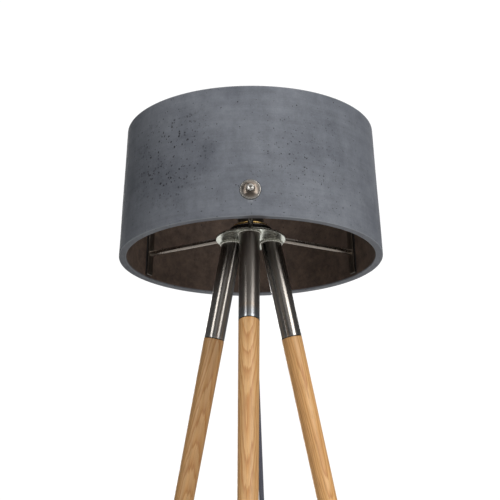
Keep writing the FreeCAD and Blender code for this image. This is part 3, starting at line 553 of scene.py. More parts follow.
rod_tip = -float(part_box("spider_rod_front")[0][1])
mesh_piece("cap_screws", at_arms(facing_out(socket_screw(head_low, screw_far, rod_tip - 0.012))), bright_steel,
           "fixing_screws")

# ---- Spider: wall tabs, rods and hub ----
# Three 8 mm steel rods run in from tabs on the shade's wall to a round steel hub. The tabs and hub are
# steel blackened in oil and the rods are satin. A rubber strip lies between each tab and the concrete.
TAB_SIZE = (0.014, 0.070)
TAB_T = 0.003
TAB_CORNER = 0.002
GASKET_T = 0.0015
ROD_R = 0.004
HUB_R = 0.033
BORE_R = 0.0051
DRAFT = np.arctan((SHADE_R_LOW - SHADE_R_TOP) / SHADE_H)
WALL_GAP = 0.0002 + TAB_SIZE[0] ** 2 / 8 / (SHADE_R_TOP - SHADE_WALL)


def quarter_angles(columns):
    """Angles once round in four runs, so that a loop can be drawn out at its four corners."""
    return np.concatenate([np.linspace(k, k + 1, columns // 4) for k in range(4)]) * np.pi / 2


def block_rows(width, height, corner, insets, levels, columns=96):
    """Loops of a rounded rectangle at their levels, each pulled in by its inset: in each quarter,
    the corner's centre plus (corner radius - inset) times (cos a, sin a)."""
    a = quarter_angles(columns)
    quarter = np.repeat(np.arange(4), columns // 4)
    x = np.where(quarter % 3 == 0, 1, -1) * (width / 2 - corner)
    y = np.where(quarter < 2, 1, -1) * (height / 2 - corner)
    r, z = corner - np.reshape(insets, (-1, 1)), np.reshape(levels, (-1, 1))
    return np.stack([x + r * np.cos(a), y + r * np.sin(a), z + 0 * a], -1)


def pole(level, columns=96):
    """A row of points drawn in to one place on the axis."""
    return np.tile([0.0, 0.0, level], (1, columns, 1))


def soft_block(width, height, low, high, corner, edge, columns=48):
    """Plate with rounded corners and edges. Each edge is a quarter circle in inset and level."""
    t = np.linspace(0, np.pi / 2, 4)
    insets = edge * np.concatenate([1 - np.sin(t), 1 - np.cos(t)])
    levels = np.concatenate([low + edge * (1 - np.cos(t)), high - edge * (1 - np.sin(t))])
    rows = block_rows(width, height, corner, insets, levels, columns)
    return np.concatenate([pole(low, columns), rows, pole(high, columns)])


def on_wall(grid):
    """Lays a block against the inside of the leaning wall: its z is the distance in from the wall."""
    lean, out = np.sin(DRAFT), np.cos(DRAFT)
    x, up, inward = np.moveaxis(grid, -1, 0)
    return np.stack([x, inward * out + up * lean - cone(ARM_Z - RIM_Z) + SHADE_WALL,
                     ARM_Z + up * out - inward * lean], -1)


black_steel = worn_finish("blackened_steel", (52, 50, 49), 0.36, 1.0, 70.0, (150, 140, 128), 0.5, 0.08)
satin_steel = worn_finish("satin_rod", (142, 134, 126), 0.26, 1.0, 50.0, (190, 184, 176), 0.5, 0.08)
tab_low = WALL_GAP + GASKET_T
tab = on_wall(soft_block(*TAB_SIZE, tab_low, tab_low + TAB_T, TAB_CORNER, 0.0007))
mesh_piece("wall_plates", at_arms(tab), black_steel, "wall_tabs")
strip = on_wall(soft_block(*TAB_SIZE, WALL_GAP, tab_low, TAB_CORNER, 0.0003))
mesh_piece("rubber_strips", at_arms(strip), rubber, "wall_gaskets")
rod_low = HUB_R - 0.010
rod = facing_out(lathe([
    (0, rod_low), (ROD_R - 0.0003, rod_low), (ROD_R, rod_low + 0.0004),
    *[(ROD_R, rod_low + (rod_tip - rod_low) * t) for t in np.linspace(0.01, 1, 24)],
    (SCREW_HOLE_R, rod_tip), (SCREW_HOLE_R, rod_tip - 0.013), (0, rod_tip - 0.013)], 48))
for arm, turn in ARM_TURNS.items():
    mesh_piece("rod_" + arm, [turned(rod, turn)], satin_steel, "spider_rod_" + arm)
hub_low, hub_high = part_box("spider_hub")
hub = rounded(ring_corners(BORE_R, HUB_R, hub_low[2], hub_high[2]), [0.0004, 0.0016, 0.0016, 0.0004], 6)
mesh_piece("hub", [lathe(hub, 144)], black_steel, "spider_hub")

# ---- Tripod head: plate, sleeves and welds ----
# A brushed steel disc under the hub carries three pieces of drawn tube, welded on at a splay. The
# tubes are dark gunmetal under a clear lacquer; the weld beads are left as laid, in small ripples.
LEG_TURNS = {arm: turn - 3.0 for arm, turn in ARM_TURNS.items()}
LEG_SPLAY = np.radians(12.91)
LEG_PITCH_R = 0.0344
SLEEVE_R = 0.0155
SLEEVE_BORE = SLEEVE_R - 0.0022
SLEEVE_L = 0.150
BEAD_R = 0.0019
GUNMETAL = tone(158, 152, 145)
plate_low, plate_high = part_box("tripod_plate")
PLATE_UNDER = float(plate_low[2])
leg_top = np.array([0, -LEG_PITCH_R, PLATE_UNDER])
leg_down = np.array([0, -np.sin(LEG_SPLAY), -np.cos(LEG_SPLAY)])
leg_side = np.array([0, np.cos(LEG_SPLAY), -np.sin(LEG_SPLAY)])


def down_leg(x, y, t):
    """Point on the front leg: top + t times the leg's direction, with x level and y square to both."""
    return leg_top + t[..., None] * leg_down + x[..., None] * np.array([1.0, 0, 0]) + y[..., None] * leg_side


def level_cut(y, z):
    """Distance down the leg at which a line parallel to its axis, y off it, crosses the height z."""
    return (z - leg_top[2] - y * leg_side[2]) / leg_down[2]


def leg_lathe(outline, top_z=np.inf, low_z=-np.inf):
    """Turned shape along the leg's axis, trimmed level at a top and a lower height, and the same
    points in the leg's own directions."""
    r, t = np.asarray(outline, float).T[..., None]
    x, y, t = np.moveaxis(around(r, t, round_angles(96)), -1, 0)
    t = np.minimum(np.maximum(t, level_cut(y, top_z)), level_cut(y, low_z))
    return down_leg(x, y, t), np.stack([x, y, t], -1)


def weld_ring():
    """Ripples of weld round the sleeve's top: a small circle carried round the sleeve at the plate,
    its radius swelling as |sin(19 a)| and its path wandering a little."""
    a = np.linspace(0, 2 * np.pi, 361)[:-1, None]
    b = np.linspace(0, 2 * np.pi, 15)[None, :-1]
    size = BEAD_R * (0.80 + 0.30 * np.abs(np.sin(19 * a)) + 0.07 * np.sin(5 * a))
    out = SLEEVE_R + 0.0001 + size * (0.25 + 0.9 * np.cos(b))
    x, y = out * np.cos(a), out * np.sin(a)
    ring = down_leg(x, y, level_cut(y, PLATE_UNDER) + size * (0.35 + 0.9 * np.sin(b)))
    ring[..., 2] = np.minimum(ring[..., 2], PLATE_UNDER)
    return ring


def gunmetal_finish():
    """Dark tube polished round and round under lacquer, which draws its highlights out along the leg;
    faint lines run the same way. The top is darkened as painted shade, for the dark inside of the shade
    that it mirrors, and the front tube shows straw and blue tints near its dark cut end."""
    material, tree, paint, _ = new_finish("gunmetal_tube", GUNMETAL, 0.29, 1.0, Anisotropic=0.7)
    local = marked(tree, "local", "Vector")
    drawn = vector("MULTIPLY", local, (4.0, 4.0, 0.2))
    rubbed = rub(tree, drawn, GUNMETAL, 0.29, 9.0, tone(190, 188, 184), 0.6, 0.0)
    down = parts(local)[2]
    heat = ramp(span(down, SLEEVE_L - 0.030, SLEEVE_L, curve="LINEAR"), (0.10, (1.0, 1.0, 1.0, 1.0)),
                (0.30, (1.10, 0.94, 0.76, 1.0)), (0.48, (0.88, 0.96, 1.08, 1.0)),
                (0.66, (0.74, 0.94, 1.22, 1.0)), (1.0, (0.70, 0.92, 1.18, 1.0)))
    colour = scaled(rubbed["Colour"], tint(marked(tree, "heated"), (1.0, 1.0, 1.0, 1.0), heat))
    # Painted shade: the top 75 mm of the tube is darkened towards the plate.
    colour = tint(times(step_down(down, 0.004, 0.075), 0.62), colour, tone(52, 48, 45))
    rim = step_down(down, SLEEVE_L - 0.0018, SLEEVE_L - 0.0004)
    feed(paint, {"Base Color": tint(rim, tone(36, 33, 30), colour), "Tangent": marked(tree, "axis", "Vector"),
                 "Roughness": rubbed["Roughness"], "Normal": rubbed["Normal"]})
    return material


plate_steel = worn_finish("brushed_plate", (214, 217, 206), 0.26, 1.0, 22.0, (96, 97, 92), 0.7, 0.12,
                          stretch=(1.0, 22.0, 1.0))
plate = rounded(ring_corners(BORE_R, float(plate_high[0]), PLATE_UNDER, plate_high[2]),
                [0.0003, 0.0006, 0.0006, 0.0003])
mesh_piece("head_plate", [lathe(plate, 192)], plate_steel, "tripod_plate")
weld_steel = worn_finish("weld_steel", (196, 194, 184), 0.24, 1.0, 160.0, (235, 232, 224), 0.3, 0.4)
mesh_piece("weld_rings", [turned(weld_ring(), turn) for turn in LEG_TURNS.values()], weld_steel,
           "weld_beads")
gunmetal = gunmetal_finish()
tube, tube_local = leg_lathe([
    *[(SLEEVE_R, t) for t in np.linspace(-0.012, SLEEVE_L - 0.0012, 30)],
    (SLEEVE_R - 0.0002, SLEEVE_L - 0.0005), (SLEEVE_R - 0.0007, SLEEVE_L - 0.0001),
    (SLEEVE_R - 0.0012, SLEEVE_L), (SLEEVE_BORE + 0.0003, SLEEVE_L), (SLEEVE_BORE, SLEEVE_L - 0.0004),
    *[(SLEEVE_BORE, t) for t in (0.10, 0.05, -0.012)]], top_z=PLATE_UNDER)
tube_points = tube_local[..., 0].size
for arm, turn in LEG_TURNS.items():
    mesh_piece("tube_" + arm, [turned(tube, turn)], gunmetal, "sleeve_" + arm,
               marks={"local": tube_local.reshape(-1, 3),
                      "heated": np.full(tube_points, 0.45 if arm == "front" else 0.06),
                      "axis": np.tile(turned(leg_down, turn), (tube_points, 1))})

# ---- Wooden legs ----
# Three legs turned in ash with a long even taper, oiled. Each has a tenon glued up inside its tube and
# is cut level at the foot. The grain is sawn at a slant, so long pointed figures show on the round.
TENON_R = SLEEVE_BORE - 0.0001
TENON_TOP = SLEEVE_L - 0.110
FOOT_R = 0.0112
PAD_T = 0.003
LEG_LENGTH = (PLATE_UNDER - PAD_T) / np.cos(LEG_SPLAY)
# Each leg's set: where its grain starts, and a factor that scales its whole colour, largest on the right leg
# and smallest on the left.
GRAIN_SETS = {"front": ((0.010, -0.047, -0.62), 0.96), "right": ((0.038, -0.030, 0.10), 1.22),
              "left": ((0.030, 0.052, 1.9), 0.84)}


def ash_finish():
    """Growth rings are distances from a pith line that leans across the leg; each ring has pale early
    wood that darkens into brown late wood, with fine pores drawn out along the grain."""
    material, tree, paint, _ = new_finish("oiled_ash", tone(198, 156, 110), 0.46)
    grain = marked(tree, "grain", "Vector")
    sway = noise(grain, 1.0, 3.0, 0.55, (14.0, 14.0, 3.2), "Color")
    swing = vector("MULTIPLY", vector("SUBTRACT", sway, (0.5, 0.5, 0.5)), (0.020, 0.020, 0.0))
    across, deep, along = parts(vector("ADD", grain, swing))
    across, deep = plus(across, times(along, 0.035)), plus(deep, times(along, 0.06))
    ring = calc("SQRT", plus(calc("POWER", across, 2.0), calc("POWER", deep, 2.0)))
    flow = noise(grain, 1.0, stretch=(300.0, 300.0, 14.0))
    year = calc("FRACT", plus(times(ring, 330.0), times(flow, 0.9)))
    wood = ramp(year, (0.0, tone(204, 160, 106)), (0.40, tone(201, 155, 101)), (0.70, tone(191, 142, 86)),
                (0.86, tone(178, 124, 70)), (0.95, tone(189, 140, 84)), (1.0, tone(199, 153, 98)))
    pores = step_down(noise(grain, 1.0, 2.0, 0.6, (1500.0, 1500.0, 42.0)), 0.34, 0.46)
    broad = noise(grain, 1.0, 3.0, stretch=(160.0, 160.0, 4.0))
    colour = tint(times(pores, 0.38), wood, tone(128, 84, 48))
    feed(paint, {"Base Color": scaled(colour, times(weigh(0.71, (broad, 0.54)), marked(tree, "depth"))),
                 "Roughness": weigh(0.42, (pores, 0.25)),
                 "Normal": bump(weigh(0.0, (pores, -0.6), (year, -0.25)), 0.3, 0.0003)})
    return material


oiled_ash = ash_finish()
leg, leg_local = leg_lathe([
    (0, TENON_TOP), (TENON_R - 0.001, TENON_TOP), (TENON_R, TENON_TOP + 0.001), (TENON_R, SLEEVE_L),
    (SLEEVE_R - 0.0006, SLEEVE_L), (SLEEVE_R - 0.0002, SLEEVE_L + 0.0003), (SLEEVE_R, SLEEVE_L + 0.0009),
    *[(SLEEVE_R + (FOOT_R - SLEEVE_R) * t, SLEEVE_L + (LEG_LENGTH - SLEEVE_L) * t)
      for t in np.linspace(0.002, 1.01, 120)], (0, LEG_LENGTH * 1.01)], low_z=PAD_T)
for arm, turn in LEG_TURNS.items():
    start, cast = GRAIN_SETS[arm]
    mesh_piece("ash_leg_" + arm, [turned(leg, turn)], oiled_ash, "leg_" + arm,
               marks={"grain": (leg_local + np.array(start)).reshape(-1, 3),
                      "depth": np.full(leg_local[..., 0].size, cast)})
    pad_low, pad_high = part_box("foot_pad_" + arm)
    pad = lathe(rounded(ring_corners(0, (pad_high[0] - pad_low[0]) / 2, 0, PAD_T), [0, 0.0006, 0.0008, 0]), 64)
    middle = (pad_low + pad_high) / 2
    mesh_piece("foot_" + arm, [pad + np.array([*middle[:2], 0])], rubber, "foot_pad_" + arm)

# ---- Threaded nipple, nuts and cord grip ----
# A zinc-plated M10 tube runs up through plate and hub. A hexagon nut locks it under the plate, and a
# black moulded grip with six ribs closes round the cord where it leaves.
NUT_FLATS = 0.015
GRIP_R = 0.0085
GRIP_TIP_R = 0.0048
CORD_R = 0.0036
grip_low, grip_high = (float(v[2]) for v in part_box("cord_grip"))


def hexagon_nut(node):
    """Nut with rounded corners top and bottom: the hexagon is held under a cone that trims its corners."""
    low, high = (float(v[2]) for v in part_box(node))
    a = round_angles(144)
    z = np.linspace(low, high, 12)[:, None]
    trimmed = NUT_FLATS / np.sqrt(3) - 0.0009 + 0.95 * np.minimum(z - low, high - z)
    r = np.minimum(hexagon(a, NUT_FLATS), trimmed)
    return np.concatenate([around(r, z, a), lathe([(BORE_R, high), (BORE_R, low)], 144)])


def refinish(finish, *nodes):
    """Gives CAD nodes whose shape is right their finish."""
    for node in nodes:
        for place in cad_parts[node].material_slots:
            place.material = finish


zinc = worn_finish("zinc_plate", (176, 178, 176), 0.32, 1.0, 120.0, (220, 220, 218), 0.5, 0.12)
mesh_piece("locking_nut", [hexagon_nut("lock_nut")], zinc, "lock_nut")
refinish(zinc, "threaded_nipple", "holder_nut")
moulded = worn_finish("black_moulding", (32, 32, 33), 0.42, 0.0, 110.0, (62, 62, 63), 0.4, 0.16,
                      Specular_IOR_Level=0.5)


def ribbed_cone(low_r, high_r, length, ribs, depth, steps=60):
    """Outline of a tapered strain relief: radius changes evenly and dips by depth at each rib's groove."""
    s = np.linspace(0, 1, steps)
    r = low_r + (high_r - low_r) * s - depth * (0.5 - 0.5 * np.cos(s * 2 * np.pi * ribs))
    return np.stack([r, s * length], -1)


grip = np.concatenate([
    [(0, grip_low), (CORD_R + 0.0002, grip_low)],
    ribbed_cone(GRIP_TIP_R, GRIP_R, 0.024, 6, 0.00045, 49) + np.array([0, grip_low]),
    [(GRIP_R, grip_low + 0.0245), (GRIP_R, grip_high - 0.0008), (GRIP_R - 0.0003, grip_high - 0.0003),
     (GRIP_R - 0.0009, grip_high), (0, grip_high)]])
mesh_piece("ribbed_grip", [lathe(grip, 72)], moulded, "cord_grip", sharp=60.0)

# ---- Lampholder ----
# A pressed brass cover and a phenolic holder stand on the hub, with a knurled collar at the mouth.
# Inside are a glazed porcelain disc, brass terminals, the screw shell and the wires.
CUP_WALL = 0.0012
HOLDER_WALL = 0.0022
GROOVE = 0.0008
KNURL_TEETH = 48
KNURL_DEEP = 0.0005


def box_sizes(node):
    """Outer radius, lowest and highest z of a round CAD node."""
    low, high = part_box(node)
    return float(high[0] - low[0]) / 2, float(low[2]), float(high[2])


brass = worn_finish("turned_brass", (196, 160, 92), 0.27, 1.0, 130.0, (232, 205, 140), 0.5, 0.10)
cup_r, cup_z0, cup_z1 = box_sizes("cup_cover")
cup = rounded([(BORE_R, cup_z1 - CUP_WALL), (cup_r - CUP_WALL, cup_z1 - CUP_WALL), (cup_r - CUP_WALL, cup_z0),
               (cup_r, cup_z0), (cup_r, cup_z1), (BORE_R, cup_z1)],
              [0.0002, 0.0006, 0.0003, 0.0003, 0.0024, 0.0003], 7)
mesh_piece("pressed_cover", [lathe(cup, 144)], brass, "cup_cover")
phenolic = worn_finish("phenolic", (38, 34, 32), 0.34, 0.0, 70.0, (78, 70, 64), 0.5, 0.10,
                       Coat_Weight=0.2, Coat_Roughness=0.2)
body_r, body_z0, body_z1 = box_sizes("holder_body")
body_in, body_floor = body_r - HOLDER_WALL, body_z0 + 0.003
body = rounded([
    (BORE_R, body_z0), (body_r - 0.004, body_z0), (body_r, body_z0 + 0.005), (body_r, body_z0 + 0.021),
    (body_r - GROOVE, body_z0 + 0.0215), (body_r - GROOVE, body_z0 + 0.0225), (body_r, body_z0 + 0.023),
    (body_r, body_z1), (body_in, body_z1), (body_in, body_floor), (BORE_R, body_floor)],
    [0.0003, 0.003, 0.003, 0.0003, 0.0002, 0.0002, 0.0003, 0.0006, 0.0006, 0.0005, 0.0003])
mesh_piece("holder_case", [lathe(body, 144)], phenolic, "holder_body")
collar_r, collar_z0, collar_z1 = box_sizes("holder_collar")
collar_bore = body_r + 0.00005
collar = lathe(rounded([
    (collar_bore, collar_z0), (collar_r - 0.0008, collar_z0), (collar_r, collar_z0 + 0.0012),
    (collar_r, collar_z1 - 0.0012), (collar_r - 0.0008, collar_z1), (collar_bore, collar_z1)],
    [0.0002, 0.0005, 0.0004, 0.0004, 0.0005, 0.0002]), 576)
# Knurling: the outer rows' radius falls by depth times (1 - cos(teeth a)) / 2.
r = np.hypot(collar[..., 0], collar[..., 1])
drop = KNURL_DEEP * (0.5 - 0.5 * np.cos(KNURL_TEETH * round_angles(576))) * (r > collar_r - 0.0004)
collar[..., :2] *= ((r - drop) / r)[..., None]
mesh_piece("knurled_collar", [collar], phenolic, "holder_collar")
porcelain = worn_finish("glazed_porcelain", (232, 228, 218), 0.18, 0.0, 50.0, (200, 190, 172), 0.4, 0.05,
                        Coat_Weight=0.6, Coat_Roughness=0.06)
wire_cover = worn_finish("wire_cover", (120, 60, 38), 0.5, 0.0, 200.0, (140, 80, 52), 0.4, 0.2)
refinish(porcelain, "porcelain_insert")
refinish(brass, "terminal_screws", "thread_shell", "centre_contact", "earth_lug")
refinish(wire_cover, "inner_wires")

# ---- Light bulb ----
# A clear pear-shaped glass bulb with four straight light bars on a glass stem, in a rolled nickel
# screw cap with a black glass ring and a soldered tip. It unscrews on its axis.
CAP_R = 0.0131
CAP_WALL = 0.0005
THREAD_PITCH = 0.0036
THREAD_DEEP = 0.0006
BULB_R = 0.030
BULB_NECK_R = 0.0129
GLASS_T = 0.001


def screw_cap():
    """Rolled thread: r = R - deep (1 - cos(2 pi z / pitch - a)) / 2, faded out at both ends."""
    _, low, high = box_sizes("bulb_cap")
    z, a = np.linspace(low, high, 90)[:, None], round_angles(120)
    fade = np.clip((z - low) / 0.002, 0, 1) * np.clip((high - 0.004 - z) / 0.002, 0, 1)
    outer = CAP_R - THREAD_DEEP * (0.5 - 0.5 * np.cos(2 * np.pi * z / THREAD_PITCH - a)) * fade
    return around(np.concatenate([outer, outer[::-1] - CAP_WALL]), np.concatenate([z, z[::-1]]), a)


def glass_profile(radius, neck_r, low, high, steps=40):
    """From the neck a Hermite curve h(t), upright at its start and tangent at its end, swells into a
    ball of the radius, (R cos b, c + R sin b), which runs on to the crown."""
    centre, join = high - radius, np.radians(-38.0)
    end = np.array([radius * np.cos(join), centre + radius * np.sin(join)])
    start, reach = np.array([neck_r, low]), end[1] - low
    t = np.linspace(0, 1, steps)[:, None]
    curve = ((2 * t ** 3 - 3 * t ** 2 + 1) * start + (t ** 3 - 2 * t ** 2 + t) * np.array([0, 1.3]) * reach
             + (3 * t ** 2 - 2 * t ** 3) * end
             + (t ** 3 - t ** 2) * np.array([-np.sin(join), np.cos(join)]) * reach * 0.9)
    b = np.linspace(join, np.pi / 2, steps)[1:, None]
    return np.concatenate([curve, np.concatenate([radius * np.cos(b), centre + radius * np.sin(b)], 1)])


nickel = worn_finish("nickel_plate", (190, 186, 176), 0.22, 1.0, 130.0, (228, 224, 214), 0.5, 0.08)
mesh_piece("bulb_screw_cap", [screw_cap()], nickel, "bulb_cap", "bulb")
clear_glass, _, paint, place = new_finish("clear_glass", (0.97, 0.98, 0.98, 1.0), 0.015, 0.0,
                                          Transmission_Weight=1.0, IOR=1.50)
feed(paint, {"Normal": bump(noise(place, 45.0), 0.06, 0.0006)})
_, glass_z0, glass_z1 = box_sizes("bulb_glass")
skin = glass_profile(BULB_R, BULB_NECK_R, glass_z0, glass_z1)
lining = glass_profile(BULB_R - GLASS_T, BULB_NECK_R - GLASS_T, glass_z0, glass_z1 - GLASS_T)[::-1]
mesh_piece("bulb_envelope", [lathe(np.concatenate([skin, lining]))], clear_glass, "bulb_glass",
           "bulb")
refinish(clear_glass, "bulb_stem")
refinish(worn_finish("light_bars", (226, 190, 70), 0.45, 0.0, 300.0, (240, 210, 110), 0.4, 0.15),
         "bulb_filaments")
refinish(worn_finish("black_glass", (26, 24, 28), 0.12, 0.0, 90.0, (50, 46, 52), 0.4, 0.05),
         "bulb_insulator")
refinish(worn_finish("solder", (150, 150, 152), 0.38, 1.0, 200.0, (190, 190, 190), 0.4, 0.3), "bulb_tip")

# ---- Hanging cord ----
# A slate textile-braided lead, 7.2 mm across, hangs from the grip, turns on to the floor behind the
# front leg and sweeps round to the foot switch. The route is in millimetres from the lamp's axis.
HANG_ROUTE = [
    (2.8, 0.0, 1287.5), (5.6, -0.3, 1184.0), (8.4, -0.9, 1080.0), (11.4, -1.8, 976.0), (14.4, -3.0, 872.0),
    (17.6, -4.4, 768.0), (20.8, -5.9, 664.0), (24.1, -7.4, 560.0), (27.4, -8.8, 456.0), (30.7, -10.0, 352.0),
    (33.7, -11.0, 250.0), (36.0, -11.7, 152.0), (37.6, -12.0, 73.0), (62.0, -10.0, 29.0), (105.0, -4.0, 3.6),
    (160.0, 10.0, 3.6), (200.0, 39.0, 3.6), (222.0, 80.0, 3.6), (220.0, 122.0, 3.8), (198.0, 155.0, 4.6),
    (166.0, 171.2, 7.6), (132.0, 171.0, 9.0)]
LINE_STEP = 0.0022
CORD_COLUMNS = 20


def laid_line(name, route):
    """Evenly spaced points along the smooth NURBS line that the route's points control."""
    curve = bpy.data.curves.new(name, "CURVE")
    curve.dimensions = "3D"
    spline = curve.splines.new("NURBS")
    spline.points.add(len(route) - 1)
    spline.points.foreach_set("co", np.insert(np.array(route) / 1000, 3, 1.0, 1).ravel())
    spline.order_u = 3
    spline.use_endpoint_u = True
    spline.resolution_u = 24
    holder = put(name, curve)
    bpy.context.view_layer.update()
    wire = bpy.data.meshes.new_from_object(holder)
    points = np.empty(len(wire.vertices) * 3)
    wire.vertices.foreach_get("co", points)
    points = points.reshape(-1, 3)
    bpy.data.objects.remove(holder)
    bpy.data.curves.remove(curve)
    bpy.data.meshes.remove(wire)
    along = np.concatenate([[0], np.cumsum(np.linalg.norm(np.diff(points, axis=0), axis=1))])
    even = np.linspace(0, along[-1], int(along[-1] / LINE_STEP) + 2)
    return np.stack([np.interp(even, along, points[:, k]) for k in range(3)], -1), even


def cord_grid(line, along):
    """Tube round a line: point + radius (cos a N + sin a B), where N and B are square to the line. The
    reference for N turns from level to upright as the line comes down to the floor. The second
    result is each point's place on the braid, (cos a, sin a, distance along)."""
    ahead = np.gradient(line, axis=0)
    ahead /= np.linalg.norm(ahead, axis=1, keepdims=True)
    level = np.clip((1 - ahead[:, 2:] ** 2) * 1.4, 0, 1)
    guide = (1 - level) * np.array([0, 1.0, 0]) + level * np.array([0, 0, 1.0])
    normal = np.cross(guide, ahead)
    normal /= np.linalg.norm(normal, axis=1, keepdims=True)
    across = np.cross(ahead, normal)
    a = round_angles(CORD_COLUMNS)
    ring = np.cos(a)[None, :, None] * normal[:, None] + np.sin(a)[None, :, None] * across[:, None]
    ends = [np.repeat(line[k, None, None], CORD_COLUMNS, 1) for k in (0, -1)]
    tube = np.concatenate([ends[0], line[:, None] + CORD_R * ring, ends[1]])
    return tube, around(1.0, np.pad(along, 1, "edge")[:, None], a).reshape(-1, 3)


# Braid: two families of strands cross on the diagonal, cos(n a + k s) and cos(n a - k s); the one on
# top at each place is the one whose turn it is in sin(n a) sin(k s).
braid, braid_in, braid_out = shared_group(
    "braid", {"Around": "Vector", "Strands": "Float", "Rise": "Float"}, {"Height": "Float", "Over": "Float"})
east, north, run = parts(braid_in["Around"])
angle, climb = times(calc("ARCTAN2", north, east), braid_in["Strands"]), times(run, braid_in["Rise"])
one, two = (calc("ABSOLUTE", calc("COSINE", times(way(angle, climb), 0.5))) for way in (plus, less))
over = span(times(calc("SINE", angle), calc("SINE", climb)), -0.25, 0.25, curve="LINEAR")
feed(braid_out, {"Over": over, "Height": plus(times(one, over), times(two, less(1.0, over)))})


def cord_finish():
    """Slate cotton braid: strands in two near tones, painted shade in the gaps between them, and a soft nap."""
    material, tree, paint, place = new_finish("textile_braid", tone(78, 80, 90), 0.85, Sheen_Weight=0.35,
                                              Sheen_Roughness=0.4)
    woven = add(tree, "Group", {"Around": marked(tree, "weave", "Vector"), "Strands": 10.0, "Rise": 1900.0},
                node_tree=braid).outputs
    nap, fade = noise(place, 2600.0, 3.0), noise(place, 16.0)
    strands = tint(woven["Over"], tone(64, 66, 76), tone(88, 90, 102))
    # Painted shade: the colour darkens where the strands dip into the gaps.
    colour = scaled(strands, weigh(0.42, (woven["Height"], 0.62)))
    feed(paint, {"Base Color": scaled(colour, weigh(0.72, (nap, 0.3), (fade, 0.26))),
                 "Normal": bump(weigh(woven["Height"], (nap, 0.35)), 0.7, 0.0004)})
    return material


textile = cord_finish()
hang_line, hang_run = laid_line("hang_line", HANG_ROUTE)
hang_tube, hang_weave = cord_grid(hang_line, hang_run)
hanging_cord = mesh_piece("hanging_cord", [hang_tube], textile, "cord_drop",
                          marks={"weave": hang_weave})

# ---- Foot switch ----
# A black moulded case in two halves on a rubber pad, held by four screws from below, with a round
# satin button to tread on and a ribbed strain relief at each end.
switch_low, switch_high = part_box("switch_cover")
base_low, base_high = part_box("switch_base")
SWITCH_X, SWITCH_Y, _ = (switch_low + switch_high) / 2
SWITCH_L, SWITCH_W, _ = switch_high - switch_low
SWITCH_WALL = 0.002
SWITCH_CORNER = 0.012
CROWN = 0.0024
BUTTON_R = 0.010
BUTTON_HOLE_R = BUTTON_R + 0.0004
ENTRY_Z = 0.009
GLAND_R = 0.0065
GLAND_TIP_R = 0.0044
GLAND_L = 0.018


def hole_rows(radii, levels):
    """Round loops that share the rounded rectangle's angles, so that the two can be joined."""
    return around(np.reshape(radii, (-1, 1)), np.reshape(levels, (-1, 1)), quarter_angles(96))


def along_x(grid, x, y, z, side):
    """A turned shape laid along X from a point, towards side times +X."""
    return np.stack([x + side * grid[..., 2], y + side * grid[..., 1], z + grid[..., 0]], -1)


case_rows = partial(block_rows, SWITCH_L, SWITCH_W, SWITCH_CORNER)
at_switch = np.array([SWITCH_X, SWITCH_Y, 0])
z0, z1 = float(switch_low[2]), float(switch_high[2])
t = np.linspace(0, np.pi / 2, 7)
outer = case_rows([0.0006, 0.0002, 0, *(CROWN * (1 - np.cos(t)))],
                  [z0, z0 + 0.0003, z0 + 0.0007, *(z1 - CROWN * (1 - np.sin(t)))])
rim = hole_rows([BUTTON_R + 0.0022, BUTTON_R + 0.0016, BUTTON_HOLE_R + 0.0003, BUTTON_HOLE_R, BUTTON_HOLE_R],
                [z1, z1 - 0.0004, z1 - 0.0005, z1 - 0.0009, z1 - SWITCH_WALL])
under = case_rows([SWITCH_WALL + 0.001, SWITCH_WALL, SWITCH_WALL],
                  [z1 - SWITCH_WALL, z1 - SWITCH_WALL - 0.001, z0])
switch_cover = mesh_piece("switch_cover_shell", [np.concatenate([outer, rim, under]) + at_switch], moulded,
                          "switch_cover")
b0, b1 = float(base_low[2]), float(base_high[2])
tray_rows = case_rows([0.0012, 0.0004, 0, 0, 0.0002, 0.0006, SWITCH_WALL, SWITCH_WALL],
                      [b0, b0 + 0.0003, b0 + 0.0011, b1 - 0.0006, b1 - 0.0002, b1, b1, b0 + SWITCH_WALL])
tray = np.concatenate([pole(b0), tray_rows, pole(b0 + SWITCH_WALL)])
switch_base = mesh_piece("switch_base_tray", [tray + at_switch], moulded, "switch_base")
button_r, button_z0, button_z1 = box_sizes("switch_button")
lip_z = button_z0 + 0.0014
button = rounded([(0, button_z0), (button_r, button_z0), (button_r, lip_z), (BUTTON_R, lip_z),
                  (BUTTON_R, button_z1 - 0.0004), (BUTTON_R - 0.0022, button_z1),
                  (BUTTON_R - 0.0032, button_z1 - 0.0005), (0, button_z1 - 0.0008)],
                 [0, 0.0003, 0.0003, 0.0003, 0.0010, 0.0006, 0.0006, 0], 6)
button_skin = worn_finish("button_moulding", (150, 148, 142), 0.38, 0.0, 120.0, (176, 174, 168), 0.4, 0.15)
mesh_piece("tread_button", [lathe(button) + at_switch], button_skin, "switch_button",
           "button")
gland = lathe(np.concatenate([[(0, -SWITCH_WALL), (GLAND_R, -SWITCH_WALL)],
                              ribbed_cone(GLAND_R, GLAND_TIP_R, GLAND_L - 0.0006, 5, 0.0006),
                              [(GLAND_TIP_R - 0.0003, GLAND_L), (0, GLAND_L)]]), 64)
both_ends = [along_x(gland, SWITCH_X + side * SWITCH_L / 2, SWITCH_Y, ENTRY_Z, side) for side in (-1, 1)]
glands = mesh_piece("ribbed_glands", both_ends, moulded, "switch_glands", sharp=70.0)
refinish(rubber, "switch_pad")
refinish(zinc, "switch_screws")
refinish(brass, "switch_contacts")

# ---- Coiled lead ----
# The spare length is wound in a neat coil of four turns, two wide and two high, on the floor behind
# the lamp. The cord runs in from the switch on the floor and leaves from the top to the plug.
COIL_X, COIL_Y = -75.0, 128.0
COIL_WIDE, COIL_NARROW = 42.8, 35.4
COIL_LOW, COIL_HIGH = 3.6, 11.0
COIL_POINTS = 14
CORNER_CUT = 0.975


